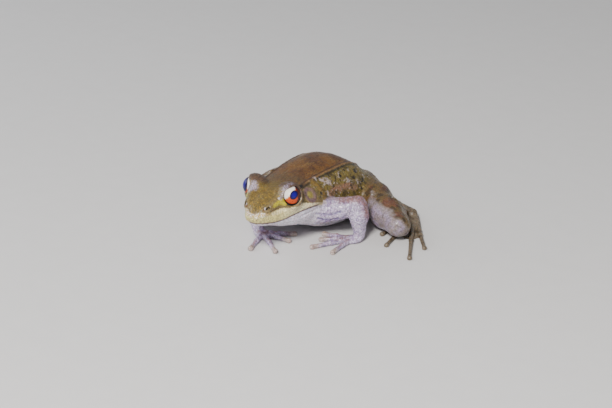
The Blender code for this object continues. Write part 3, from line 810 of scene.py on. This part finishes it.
def legTopness(points, normals):
    # above 0 where a leg is brown: its top and rear, and all of it near the body
    out = np.abs(points[:, 0])
    turned = normals[:, 1] * 0.92 + normals[:, 2] * 0.38
    high = (points[:, 2] - (10.2 - 0.2 * (out - 15.0))) * 0.6
    nearBody = smoothStep(15.5, 12.5, out) - 0.3
    return np.maximum(np.maximum(turned, high), nearBody)


def blobs(places, spots, side, seed):
    # the distance to the nearest spot, as a share of its radius
    shuffle = random.Random(seed)
    found = None
    for place, radius in spots:
        moved = mirrored(place, side)
        if side < 0:
            moved = moved + point((0.0, shuffle.uniform(-0.9, 0.9), shuffle.uniform(-0.7, 0.7)))
            radius = radius * shuffle.uniform(0.8, 1.15)
        dx, dy, dz = places.fromPoint(moved)
        wide = shuffle.uniform(0.85, 1.35)
        share = np.sqrt(dx * dx + (dy * wide) ** 2 + (dz / wide) ** 2) / radius
        found = share if found is None else np.minimum(found, share)
    return found


def nearestOf(fields):
    return np.min(np.stack(fields), axis=0)


def skinPatterns(points, normals):
    # the measures that the skin's colours follow, one number at each point
    places = Places(*points.T)
    spine = places.alongSpine()
    bodyDistance, around, y = crossSection(spine)
    nearest = {}
    for name, side in sides:
        thigh, shank, tarsus, sole = legFields(places, name, side)
        tips = [bones[-1] for bones, radii in fingerBones(arms[name], side)[2]]
        found = {key: spine.chain(onSide(line, side), radii) for key, (line, radii) in skinLines.items()}
        found.update({
            "arm": nearestOf(armFields(places, name, side)),
            "leg": np.minimum(thigh, shank),
            "foot": np.minimum(tarsus, sole),
            "fromFold": spine.chain(foldLine(side), 0.0),
            "fromEye": spine.sphere(mirrored(eyeSizes["centre"], side), 0.0),
            "fromDrum": spine.sphere(mirrored(faceSizes["tympanum"], side), 0.0),
            "fromGland": blobs(spine, glands, side, 5),
            "fromInk": blobs(spine, inkSpots, side, 6),
            "fromLidLilacAndSheen": spine.chain(onSide(lidLilacAndSheenPatches[side][0], side), lidLilacAndSheenPatches[side][1]),
            "fromGlintSpots": nearestOf([spine.sphere(spot, 0.0) for spot in onSide(glintSpots, side)]),
            "fromElbow": places.chain(onSide(elbowTop, side), 0.0),
            "fromTips": nearestOf([places.sphere(tip, 0.0) for tip in tips]),
        })
        nearest = {key: np.minimum(nearest.get(key, value), value) for key, value in found.items()}
    arm, leg, foot = [nearest.pop(key) for key in ("arm", "leg", "foot")]
    wholeLeg = np.minimum(leg, foot)
    legShare = smoothStep(-1.2, 1.2, np.minimum(bodyDistance, arm) - wholeLeg)
    overMouth = spine.z - mouthHeight(spine.y)
    return {
        **nearest,
        "aboveFold": around - foldHeight(y),
        "around": around,
        "alongBody": spine.y,
        "overMouth": overMouth,
        "overLip": overMouth - np.interp(spine.y, lipBand["y"], lipBand["height"]),
        "armShare": smoothStep(-0.7, 0.7, np.minimum(bodyDistance, wholeLeg) - arm),
        "legShare": legShare,
        "footShare": smoothStep(-0.6, 0.6, leg - foot) * legShare,
        "limbShare": smoothStep(-0.8, 0.8, bodyDistance - np.minimum(arm, wholeLeg)),
        "fromArmCrease": nearestOf([places.chain(onSide(line, 1), 0.0) for line, radius in armCreases]),
        "facingUp": normals[:, 2],
        "facingFront": -normals[:, 1],
        "legTop": legTopness(points, normals),
        "lidTop": spine.z - eyeSizes["centre"][2] + 0.35 * spine.y,
    }


def setPatterns(mesh, patterns):
    for name, values in patterns.items():
        layer = mesh.attributes.new(name, "FLOAT", "POINT")
        layer.data.foreach_set("value", values.astype(np.float32))


def finishedSkin(obj):
    mesh = obj.data
    points = toFrog(readVectors(mesh.vertices, "co"))
    normals = readVectors(mesh.vertex_normals, "vector")
    patterns = skinPatterns(points, normals)
    awayFromFloor = smoothStep(0.15, 1.2, points[:, 2])
    awayFromEye = smoothStep(3.3, 4.2, patterns["fromEye"])
    lumps = 0.1 * noiseAt(points, 2.2, 1) + 0.06 * noiseAt(points, 1.0, 2)
    points = points + normals * (lumps * awayFromFloor * awayFromEye)[:, None]
    points[:, 2] = np.where(points[:, 2] < skinSizes["floorSnap"], 0.0, points[:, 2])
    mesh.vertices.foreach_set("co", toModel(points).astype(np.float32).ravel())
    mesh.update()
    setPatterns(mesh, patterns)
    smoothShaded(mesh)
    print("skin patterned")
    return patterns


class Value:
    # a number in a material's nodes, which adds and multiplies as numbers do

    def __init__(self, finish, socket):
        self.finish = finish
        self.socket = socket

    def __add__(self, other):
        return self.finish.maths("ADD", self, other)

    def __sub__(self, number):
        return self + -number

    def __mul__(self, other):
        return self.finish.maths("MULTIPLY", self, other)


class Finish:
    # a material and short words for the nodes that make it

    def __init__(self, name, colours):
        self.material = bpy.data.materials.new(name)
        self.material.use_nodes = True
        self.tree = self.material.node_tree
        self.colours = colours
        self.place = self.node("ShaderNodeTexCoord").outputs["Object"]

    def node(self, kind, inputs=(), **settings):
        made = self.tree.nodes.new(kind)
        for key, value in settings.items():
            setattr(made, key, value)
        for key, value in dict(inputs).items():
            self.plug(made.inputs[key], value)
        return made

    def plug(self, socket, value):
        if isinstance(value, Value):
            value = value.socket
        if isinstance(value, bpy.types.NodeSocket):
            self.tree.links.new(value, socket)
        else:
            socket.default_value = value

    def measure(self, name):
        return Value(self, self.node("ShaderNodeAttribute", attribute_name=name).outputs["Fac"])

    def maths(self, operation, a, b=0.0):
        return Value(self, self.node("ShaderNodeMath", {0: a, 1: b}, operation=operation).outputs[0])

    def size(self, value):
        return self.maths("ABSOLUTE", value)

    def band(self, value, low, high, most=1.0, least=0.0):
        inputs = {"Value": value, "From Min": low, "From Max": high, "To Min": least, "To Max": most}
        node = self.node("ShaderNodeMapRange", inputs, interpolation_type="SMOOTHSTEP")
        return Value(self, node.outputs["Result"])

    def noise(self, size, detail=2.0, stretch=(1.0, 1.0, 1.0), distortion=0.0):
        scale = [1.0 / (s * size * mm) for s in stretch]
        mapping = self.node("ShaderNodeMapping", {"Vector": self.place, "Scale": scale})
        inputs = {"Vector": mapping.outputs[0], "Scale": 1.0, "Detail": detail, "Distortion": distortion}
        return Value(self, self.node("ShaderNodeTexNoise", inputs).outputs["Fac"])

    def cells(self, size):
        inputs = {"Vector": self.place, "Scale": 1.0 / (size * mm)}
        return Value(self, self.node("ShaderNodeTexVoronoi", inputs, feature="SMOOTH_F1").outputs["Distance"])

    def colour(self, value):
        if isinstance(value, str):
            value = self.colours[value]
        return (*value, 1.0) if isinstance(value, tuple) else value

    def paint(self, colour, *layers):
        # a colour with other colours laid over it, each as strongly as its share says
        for over, share in layers:
            inputs = {0: share, 6: self.colour(colour), 7: self.colour(over)}
            colour = Value(self, self.node("ShaderNodeMix", inputs, data_type="RGBA").outputs[2])
        return colour

    def bump(self, height, distance, strength=1.0, under=None):
        inputs = {"Height": height, "Distance": distance * mm, "Strength": strength}
        if under is not None:
            inputs["Normal"] = under
        return Value(self, self.node("ShaderNodeBump", inputs).outputs["Normal"])

    def finished(self, inputs):
        for key, value in inputs.items():
            self.plug(self.tree.nodes["Principled BSDF"].inputs[key], value)
        return self.material


skinColours = {
    "back": (0.098, 0.042, 0.014),
    "backDark": (0.04, 0.017, 0.007),
    "backWarm": (0.165, 0.074, 0.014),
    "backGold": (0.21, 0.118, 0.03),
    "headTop": (0.142, 0.096, 0.026),
    "headBrown": (0.085, 0.046, 0.022),
    "headGold": (0.52, 0.315, 0.026),
    "flank": (0.15, 0.108, 0.024),
    "flankDark": (0.042, 0.03, 0.01),
    "pink": (0.27, 0.125, 0.09),
    "cream": (0.67, 0.61, 0.4),
    "lipGreen": (0.59, 0.51, 0.19),
    "lipBrown": (0.12, 0.062, 0.02),
    "stripe": (0.48, 0.4, 0.012),
    "lipEdge": (0.85, 0.74, 0.44),
    "black": (0.008, 0.007, 0.008),
    "gland": (0.44, 0.35, 0.34),
    "belly": (0.69, 0.64, 0.74),
    "bellyShade": (0.42, 0.35, 0.48),
    "arm": (0.37, 0.285, 0.44),
    "armPale": (0.56, 0.49, 0.64),
    "glint": (0.9, 0.86, 0.94),
    "armBrown": (0.25, 0.12, 0.095),
    "armViolet": (0.235, 0.16, 0.35),
    # painted shade in the creases under the upper arm
    "armCreaseShade": (0.13, 0.095, 0.23),
    "tip": (0.43, 0.33, 0.17),
    "legTop": (0.12, 0.074, 0.024),
    "legBar": (0.04, 0.024, 0.011),
    "legFront": (0.37, 0.29, 0.45),
    "legGrey": (0.215, 0.172, 0.14),
    "kneeRed": (0.13, 0.048, 0.03),
    "foot": (0.165, 0.125, 0.082),
    "drum": (0.3, 0.245, 0.045),
    "drumRing": (0.165, 0.095, 0.105),
    "drumSkin": (0.19, 0.135, 0.05),
    "earFold": (0.16, 0.095, 0.018),
    "foldPale": (0.23, 0.125, 0.05),
    # lilac of the eyelid patches: partly the lids' own colour, partly a painted reflection of light
    "lid": (0.47, 0.4, 0.56),
    "lidTop": (0.07, 0.036, 0.034),
    "lidRim": (0.02, 0.03, 0.04),
    "mouth": (0.13, 0.04, 0.045),
}


def skinFinish(name, wet):
    f = Finish(name, skinColours)
    band, noise, paint, measure = f.band, f.noise, f.paint, f.measure
    wander = noise(3.2, 3.0) * 2.0 - 1.0
    grain = noise(0.5, 3.0)
    blotch = noise(1.9, 3.0)
    fold = measure("aboveFold") + wander * 0.03
    around = measure("around") + wander * 0.16
    along = measure("alongBody")
    up = measure("facingUp") + wander * 0.35
    edges = (grain - 0.5) * 0.9

    # back, flank and belly
    back = paint(
        "back",
        ("backDark", band(blotch, 0.5, 0.72, 0.8)),
        ("backWarm", band(noise(5.0), 0.45, 0.65, 0.8)),
        ("backGold", band(noise(1.1, 3.0, (1.0, 3.5, 1.0), 0.8), 0.54, 0.66, 0.55)),
        ("backDark", band(noise(0.55), 0.6, 0.68, 0.75)),
    )
    pink = band(measure("fromPink") + wander, 0.5, -0.6)
    flank = paint(
        "flank",
        ("flankDark", band(blotch, 0.5, 0.62, 0.75)),
        ("pink", pink * band(blotch, 0.6, 0.4, 0.75, 0.25)),
        ("gland", band(noise(0.75, 1.0), 0.64, 0.7, 0.6)),
        ("black", band(noise(1.05, 1.0), 0.64, 0.69, 0.75)),
    )
    trunkColour = paint(
        flank,
        (back, band(fold, -0.02, 0.02)),
        ("bellyShade", band(around, 0.0, -0.12)),
        ("belly", band(around, -0.08, -0.25)),
    )

    # head
    top = paint(
        "headTop",
        ("headBrown", band(along + wander * 2.0, 0.0, 6.0, 0.9)),
        ("headGold", band(noise(0.34), 0.5, 0.66) * band(along, 4.0, -8.0, 0.6, 0.12)),
    )
    overLip = measure("overLip") + edges * 0.8
    overMouth = measure("overMouth")
    goldBand = band(overLip, -1.4, -0.3) * band(along, 0.0, -6.0)
    shine = band(overLip + wander * 0.3, -1.4, -0.6) * band(along, -7.6, -9.0)
    lip = paint(
        "cream",
        ("lipGreen", band(along, 2.0, -6.0, 0.9, 0.1)),
        ("headGold", goldBand * band(noise(0.45), 0.36, 0.54, 1.0, 0.35)),
        ("lipBrown", band(noise(0.33), 0.57, 0.66) * band(along, 2.0, -9.0, 0.75, 0.05)),
        ("glint", shine * band(noise(0.24), 0.44, 0.62, 0.85)),
    )
    lipEdge = band(f.size(overLip + 0.55), 0.7, 0.2) * band(along, -8.5, -6.0)
    jaw = band(f.size(overMouth), 0.45, 0.1) * band(along, 10.5, 9.0)
    drum = measure("fromDrum")
    ring = band(drum + edges * 0.25, 2.55, 2.0) * band(blotch, 0.75, 0.45, 1.0, 0.35)
    head = paint(
        "drumSkin",
        ("flankDark", band(blotch, 0.52, 0.66, 0.4)),
        (top, band(fold, -0.1, 0.02)),
        (lip, band(overLip, 0.15, -0.25)),
        ("lipEdge", lipEdge * band(grain, 0.35, 0.6, 1.0, 0.45)),
        ("lipBrown", band(measure("fromDarkStripe"), 0.3, -0.05)),
        ("stripe", band(measure("fromPaleStripe") + edges * 0.3, 0.2, -0.25)),
        ("belly", band(overMouth, 0.05, -0.3)),
        ("mouth", jaw * 0.8),
        ("drumRing", ring * 0.9),
        ("drum", band(drum + edges * 0.9, 1.45, 0.55, 0.9)),
    )

    # the fold along the back, and the fold behind the ear
    fromFold = measure("fromFold")
    behindEye = band(along, 3.5, 6.0)
    underFold = band(fromFold, 1.2, 0.6) * band(fold, 0.0, -0.04)
    overFold = band(fromFold, 0.95, 0.6) * band(fold, 0.0, 0.03)
    body = paint(
        trunkColour,
        (head, band(along + wander * 1.2, 12.5, 7.0)),
        ("foldPale", band(fromFold, 0.55, 0.25, 0.75) * behindEye),
        ("black", underFold * behindEye * 0.75),
        ("black", band(fromFold, 0.65, 0.25, 0.8) * band(along, 9.5, 6.5)),
        ("backDark", overFold * behindEye * 0.7),
        ("earFold", band(measure("fromEarFold"), 1.0, 0.55, 0.9)),
    )

    # arms and legs
    fromElbow = measure("fromElbow")
    elbow = band(fromElbow + wander * 0.7, 2.9, 1.0)
    glints = band(noise(0.34, 1.0), 0.58, 0.66) * band(measure("facingFront"), 0.2, 0.8, 0.75)
    arm = paint(
        "arm",
        ("armPale", band(grain, 0.45, 0.62)),
        ("armViolet", band(noise(2.4), 0.52, 0.66, 0.7)),
        ("armBrown", band(up, 0.55, 1.1) * band(blotch, 0.4, 0.62, 0.8, 0.1)),
        ("armBrown", elbow * band(grain, 0.6, 0.4, 0.9, 0.5)),
        ("glint", glints * band(fromElbow, 1.4, 2.6)),
        ("tip", band(measure("fromTips") + wander * 0.6, 3.0, 0.5, 0.6)),
    )
    legTop = paint(
        "legTop",
        ("legBar", band(noise(4.5, 1.0, (0.45, 0.45, 3.0)), 0.52, 0.58) * 0.8),
        ("kneeRed", band(noise(3.0), 0.48, 0.62, 0.7)),
    )
    topness = measure("legTop") + wander * 0.3 + (blotch - 0.5) * 0.9
    leg = paint(
        "legFront",
        ("legBar", band(noise(0.7), 0.6, 0.66, 0.6)),
        ("legGrey", band(topness, -0.7, -0.15, 0.9)),
        (legTop, band(topness, -0.28, 0.22)),
        (paint("foot", ("legBar", band(blotch, 0.5, 0.62, 0.6))), measure("footShare")),
    )

    # limbs, marks, glands, eyelids and fine grain over the body
    ragged = edges * 1.2 + (noise(0.9) - 0.5) * 3.6
    eye = measure("fromEye")
    lidTop = band(eye, 4.6, 4.0) * band(measure("lidTop"), 1.2, 2.6)
    behindLid = band(eye, 4.3, 3.9) * band(along + wander * 0.4, 0.8, 2.0)
    # the eyelid patches: partly the lids' own lilac, partly a painted reflection of light
    lidLilacAndSheen = band(measure("fromLidLilacAndSheen") + edges * 2.2, 0.75, -0.55)
    colour = paint(
        body,
        (arm, measure("armShare")),
        # painted shade: darker violet along the creases under the upper arm
        ("armCreaseShade", band(measure("fromArmCrease") + edges * 0.2, 0.55, 0.15) * 0.8),
        (leg, measure("legShare")),
        ("black", band(measure("fromInk") + ragged, 1.15, 0.75) * 0.9),
        ("gland", band(measure("fromGland") + ragged, 1.2, 0.35) * 0.75),
        ("lidTop", lidTop * 0.75),
        ("headBrown", behindLid * 0.75),
        # partly own lilac, partly painted reflection: pale lilac patches on the eyelids
        ("lid", lidLilacAndSheen * band(noise(0.3), 0.42, 0.6, 0.85, 0.2)),
        ("black", band(measure("fromEyeCorner") + edges * 0.4, 0.75, 0.35) * 0.9),
        # painted highlight: pale glint spots by the nostril and in front of the eye
        ("glint", band(measure("fromGlintSpots") + edges * 0.5, 0.55, 0.1) * 0.5),
        # painted shade: the nostril hole painted black
        ("black", band(measure("fromNostril"), 0.42, 0.3, 0.85)),
        ("lidRim", band(eye, 3.2, 3.1)),
        ("black", band(f.cells(0.42), 0.3, 0.62, 0.35)),
    )

    rough = band(fold, 0.0, -0.05) * 0.7 + measure("armShare") * 0.5
    lumps = f.bump(f.cells(1.05) * (rough * -1.0), 0.3)
    pores = f.cells(0.55) * -1.0 + noise(0.22) * 0.5
    return f.finished({
        "Base Color": colour,
        "Normal": f.bump(pores * band(fold, 0.04, -0.04, 1.0, 0.55), 0.13, 0.7, lumps),
        "Roughness": band(grain, 0.3, 0.7, 0.56 - 0.24 * wet, 0.38 - 0.2 * wet),
        "Coat Weight": 0.28 + 0.6 * wet,
        "Coat Roughness": 0.14 - 0.09 * wet,
        "Subsurface Weight": 0.08,
        "Subsurface Scale": 0.0006,
        "Specular IOR Level": 0.35,
    })


eyeColours = {
    "pupil": (0.001, 0.001, 0.04),
    "pupilEdge": (0.03, 0.006, 0.01),
    "pupilGlow": (0.012, 0.0, 0.19),
    "irisLow": (0.54, 0.056, 0.001),
    "irisGold": (0.52, 0.17, 0.01),
    # the upper iris's own cream, paled further by a painted glare of light
    "irisCreamAndGlare": (0.8, 0.74, 0.68),
    # the iris's own dark red-brown at the rear, also used as painted shade under the upper lid
    "irisRearAndLidShade": (0.07, 0.007, 0.004),
    "irisDark": (0.022, 0.01, 0.008),
    "white": (0.03, 0.05, 0.06),
}
irisSizes = {
    "radius": 2.52,
    "pupilHalfLength": 1.24,
    "pupilHalfHeight": 1.0,
    "farPupilScale": 1.65,
    "tilt": -42.0,
    "domeHeight": 0.22,
    "domeSpread": 0.7,
}


def eyeFrame(side):
    # gaze direction, level direction across it, and the direction up along the eye's surface
    gaze = eyeAxis(side, eyeSizes["gazeTurn"][side], eyeSizes["gazeLift"])
    level = unit(np.cross(gaze, upBy(1.0))) * side
    return gaze, level, np.cross(level, gaze) * side


def eyePiece(name, side):
    # a ball with its pole at the middle of the iris, and a slightly domed front
    gaze, level, rise = eyeFrame(side)
    centre = mirrored(eyeSizes["centre"], side) + point((spineShift(eyeSizes["centre"][1]), 0.0, 0.0))
    rings = eyeSizes["rings"]
    spokes = eyeSizes["spokes"]
    points = [centre + gaze * (eyeSizes["radius"] + irisSizes["domeHeight"])]
    for ring in range(1, rings):
        angle = math.pi * ring / rings
        dome = irisSizes["domeHeight"] * math.exp(-((angle / irisSizes["domeSpread"]) ** 2))
        for spoke in range(spokes):
            turn = 2.0 * math.pi * spoke / spokes
            out = level * math.cos(turn) + rise * math.sin(turn)
            outwards = gaze * math.cos(angle) + out * math.sin(angle)
            points.append(centre + outwards * (eyeSizes["radius"] + dome))
    points.append(centre - gaze * eyeSizes["radius"])
    faces = []
    for spoke in range(spokes):
        after = (spoke + 1) % spokes
        faces.append((0, 1 + spoke, 1 + after))
        for ring in range(rings - 2):
            a = 1 + ring * spokes
            b = a + spokes
            faces.append((a + spoke, b + spoke, b + after, a + after))
        last = 1 + (rings - 2) * spokes
        faces.append((last + after, last + spoke, len(points) - 1))
    stack = np.array(points)
    mesh = meshOf(name, toModel(stack), faces)
    turned = bmesh.new()
    turned.from_mesh(mesh)
    bmesh.ops.recalc_face_normals(turned, faces=turned.faces)
    turned.to_mesh(mesh)
    turned.free()
    offset = stack - centre
    tilt = math.radians(irisSizes["tilt"])
    across = offset @ level
    above = offset @ rise
    long = across * math.cos(tilt) + above * math.sin(tilt)
    tall = above * math.cos(tilt) - across * math.sin(tilt)
    wider = 1.0 if side > 0 else irisSizes["farPupilScale"]
    setPatterns(mesh, {
        "pupilLong": long / (irisSizes["pupilHalfLength"] * wider),
        "pupilTall": tall / (irisSizes["pupilHalfHeight"] * wider),
        "irisAcross": across,
        "irisAbove": above,
        "irisForward": offset @ gaze,
    })
    smoothShaded(mesh)
    return newPiece(name, mesh)


def eyeFinish():
    f = Finish("frogEye", eyeColours)
    band = f.band
    across = f.measure("irisAcross")
    above = f.measure("irisAbove")
    radius = f.maths("SQRT", across * across + above * above)
    fibres = f.noise(0.26, 3.0, (1.0, 1.0, 1.6), 0.6)
    ragged = (fibres - 0.5) * 0.9
    long = f.measure("pupilLong")
    tall = f.measure("pupilTall")
    pupil = f.maths("SQRT", long * long + tall * tall)
    height = above * 0.8 + across * 0.6 + ragged
    edge = irisSizes["radius"]
    ball = f.paint(
        "irisLow",
        ("irisGold", band(height, 0.3, 0.65, 0.8)),
        # partly painted highlight: the upper part of the iris is the iris's own cream with a painted glare of
        # light over it
        ("irisCreamAndGlare", band(height, 0.55, 0.85)),
        ("irisRearAndLidShade", band(across + ragged * 0.6, -0.75, -1.15)),
        ("irisDark", band(fibres, 0.56, 0.68) * band(height, 0.75, 0.45, 0.75, 0.15)),
        # painted shade: the top of the iris darkened where the upper lid would shade it
        ("irisRearAndLidShade", band(above + ragged * 0.5, 1.85, 2.35, 0.9)),
        ("irisDark", band(radius + ragged * 0.3, edge - 0.35, edge - 0.05)),
        ("pupilEdge", band(pupil, 1.14, 1.02)),
        ("pupil", band(pupil, 1.04, 0.94)),
        ("pupilGlow", band(pupil, 0.95, 0.35)),
        ("white", band(radius, edge - 0.02, edge + 0.12)),
    )
    return f.finished({
        "Base Color": f.paint("white", (ball, band(f.measure("irisForward"), 0.2, 0.7))),
        "Roughness": 0.4,
        "Specular IOR Level": 0.1,
        "Coat Weight": 0.5,
        "Coat Roughness": 0.02,
    })


skin = skinSurface()
skinMeasures = finishedSkin(skin)
skin.data.materials.append(skinFinish("frogSkin", 0.0))
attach(skin, "root")
fleshNodes = [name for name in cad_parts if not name.startswith("eye_")]
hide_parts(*fleshNodes)
print("skin finished, standing for", len(fleshNodes), "nodes")

granuleSizes = {
    "perSquareMetre": 5.9e6,
    "radius": 0.13,
    "least": 0.4,
    "most": 1.6,
    "flatness": 0.36,
    "seed": 11,
}


def granuleShare(points, measures):
    # how thickly the skin is set with granules at each point, from 0 to 1
    head = smoothStep(9.0, 4.0, measures["alongBody"])
    snout = smoothStep(-4.0, -9.0, measures["alongBody"]) * smoothStep(0.1, 0.8, measures["overMouth"])
    lids = smoothStep(4.6, 3.9, measures["fromEye"]) * smoothStep(3.4, 3.6, measures["fromEye"])
    lids = lids * smoothStep(-0.5, 1.0, measures["lidTop"])
    arm = measures["armShare"] * smoothStep(3.0, 5.0, points[:, 2])
    flank = smoothStep(0.03, -0.06, measures["aboveFold"]) * smoothStep(-0.1, 0.1, measures["around"])
    flank = flank * smoothStep(9.0, 13.0, measures["alongBody"]) * 0.7
    leg = measures["legShare"] * (1.0 - measures["footShare"]) * smoothStep(2.0, 4.0, points[:, 2]) * 0.5
    back = smoothStep(0.0, 0.05, measures["aboveFold"]) * (1.0 - head) * 0.05
    body = np.maximum(np.maximum(flank, back), snout * 0.6) * (1.0 - measures["limbShare"])
    share = np.maximum(np.maximum(body, lids), np.maximum(arm * 0.8, leg))
    return share * smoothStep(3.36, 3.5, measures["fromEye"])


# the nodes of the granules' tree, and its links: from node and output, to node and input
granuleNodes = {
    "start": "NodeGroupInput",
    "share": "GeometryNodeInputNamedAttribute",
    "thickness": "ShaderNodeMath",
    "spread": "GeometryNodeDistributePointsOnFaces",
    "ball": "GeometryNodeMeshIcoSphere",
    "flatten": "GeometryNodeTransform",
    "size": "FunctionNodeRandomValue",
    "place": "GeometryNodeInstanceOnPoints",
    "smooth": "GeometryNodeSetShadeSmooth",
    "real": "GeometryNodeRealizeInstances",
    "paint": "GeometryNodeSetMaterial",
    "end": "NodeGroupOutput",
}
granuleLinks = (
    ("share", "Attribute", "thickness", 0),
    ("start", "Thickness", "thickness", 1),
    ("start", "Skin", "spread", "Mesh"),
    ("thickness", "Value", "spread", "Density"),
    ("start", "Seed", "spread", "Seed"),
    ("start", "Radius", "ball", "Radius"),
    ("ball", "Mesh", "flatten", "Geometry"),
    ("start", "Seed", "size", "Seed"),
    ("spread", "Points", "place", "Points"),
    ("spread", "Rotation", "place", "Rotation"),
    ("flatten", "Geometry", "place", "Instance"),
    ("place", "Instances", "smooth", "Geometry"),
    ("smooth", "Geometry", "real", "Geometry"),
    ("real", "Geometry", "paint", "Geometry"),
    ("paint", "Geometry", "end", "Granules"),
)


def granuleTree(material):
    # small low domes, spread over the skin as thickly as its granuleShare says
    tree = bpy.data.node_groups.new("skinGranules", "GeometryNodeTree")
    for name, kind in (("Skin", "Geometry"), ("Thickness", "Float"), ("Radius", "Float"), ("Seed", "Int")):
        tree.interface.new_socket(name, in_out="INPUT", socket_type="NodeSocket" + kind)
    tree.interface.new_socket("Granules", in_out="OUTPUT", socket_type="NodeSocketGeometry")
    nodes = {name: tree.nodes.new(kind) for name, kind in granuleNodes.items()}
    nodes["share"].inputs["Name"].default_value = "granuleShare"
    nodes["thickness"].operation = "MULTIPLY"
    nodes["ball"].inputs["Subdivisions"].default_value = 1
    nodes["flatten"].inputs["Scale"].default_value = (1.0, 1.0, granuleSizes["flatness"])
    nodes["paint"].inputs["Material"].default_value = material
    for start, out, end, into in granuleLinks:
        tree.links.new(nodes[start].outputs[out], nodes[end].inputs[into])
    numbers = [socket for socket in nodes["size"].inputs if socket.type == "VALUE"]
    for socket, value in zip(numbers, (granuleSizes["least"], granuleSizes["most"])):
        socket.default_value = value
    scale = [socket for socket in nodes["size"].outputs if socket.type == "VALUE"][0]
    tree.links.new(scale, nodes["place"].inputs["Scale"])
    return tree


def skinGranules(skin, measures, material):
    points = toFrog(readVectors(skin.data.vertices, "co"))
    setPatterns(skin.data, {"granuleShare": granuleShare(points, measures)})
    grower = newPiece("granuleGrower", skin.data.copy())
    modifier = grower.modifiers.new("granules", "NODES")
    modifier.node_group = granuleTree(material)
    sizes = {
        "Thickness": granuleSizes["perSquareMetre"],
        "Radius": granuleSizes["radius"] * mm,
        "Seed": granuleSizes["seed"],
    }
    for socket in modifier.node_group.interface.items_tree:
        if socket.name in sizes:
            modifier[socket.identifier] = sizes[socket.name]
    mesh = evaluatedMesh(grower)
    mesh.name = "skinGranules"
    bpy.data.objects.remove(grower)
    granules = newPiece("skinGranules", mesh)
    print("granules placed", len(mesh.polygons))
    return granules


granules = skinGranules(skin, skinMeasures, skinFinish("wetGranules", 1.0))
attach(granules, "root")

eyeMaterial = eyeFinish()
for name, side in sides:
    eye = eyePiece("eyeBall" + name.capitalize(), side)
    eye.data.materials.append(eyeMaterial)
    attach(eye, "root")
    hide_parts("eye_" + name)
print("eyes finished")


floorSizes = {
    "half": 3.0,
    "under": 0.00002,
    "colour": (0.62, 0.61, 0.6),
    "speck": (0.66, 0.65, 0.64),
}


def paleFloor():
    half = floorSizes["half"]
    corners = ((-half, -half), (half, -half), (half, half), (-half, half))
    points = [(x, y, -floorSizes["under"]) for x, y in corners]
    floor = newPiece("floor", meshOf("floor", points, [(0, 1, 2, 3)]))
    finish = Finish("floorPaint", floorSizes)
    colour = finish.paint("colour", ("speck", finish.noise(6.0, 3.0)))
    floor.data.materials.append(finish.finished({"Base Color": colour, "Roughness": 0.8}))
    return floor


paleFloor()

lights = {
    "key": {"at": (0.16, -0.46, 0.4), "size": 0.12, "power": 6.2, "colour": (1.0, 0.97, 0.94)},
    "fill": {"at": (-0.5, -0.1, 0.3), "size": 0.4, "power": 1.6, "colour": (0.88, 0.92, 1.0)},
}


lightTarget = (0.0, 0.0, 0.008)
skyLight = {"Color": (0.85, 0.87, 0.9, 1.0), "Strength": 0.4}


def aimed(obj, at, target):
    obj.location = at
    obj.rotation_euler = (mathutils.Vector(target) - mathutils.Vector(at)).to_track_quat("-Z", "Y").to_euler()


def studio():
    for name, light in lights.items():
        data = bpy.data.lights.new(name, "AREA")
        data.shape = "SQUARE"
        data.size = light["size"]
        data.energy = light["power"]
        data.color = light["colour"]
        aimed(newPiece(name, data), light["at"], lightTarget)
    world = bpy.data.worlds.new("studio")
    world.use_nodes = True
    for name, value in skyLight.items():
        world.node_tree.nodes["Background"].inputs[name].default_value = value
    bpy.context.scene.world = world


studio()

cameraSizes = {
    "turn": 33.0,
    "lift": 23.0,
    "lens": 100.0,
    "sensor": 36.0,
    "pixelsPerMm": 3.75,
    "imageWidth": 612.0,
    "aimRight": 9.33,
    "aimUp": -3.47,
}


def placeCamera():
    turn = math.radians(cameraSizes["turn"])
    lift = math.radians(cameraSizes["lift"])
    back = point((math.sin(turn) * math.cos(lift), -math.cos(turn) * math.cos(lift), math.sin(lift)))
    right = point((math.cos(turn), math.sin(turn), 0.0))
    up = np.cross(back, right)
    middle = point((0.0, 0.0, eyeSizes["centre"][2]))
    aim = middle + right * cameraSizes["aimRight"] + up * cameraSizes["aimUp"]
    pixels = cameraSizes["lens"] / cameraSizes["sensor"] * cameraSizes["imageWidth"]
    distance = pixels / cameraSizes["pixelsPerMm"]
    data = bpy.data.cameras.new("camera")
    data.lens = cameraSizes["lens"]
    data.sensor_width = cameraSizes["sensor"]
    data.clip_start = 0.01
    camera = newPiece("camera", data)
    aimed(camera, toModel(aim + back * distance), toModel(aim))
    bpy.context.scene.camera = camera


placeCamera()
print("stage, lights and camera placed")
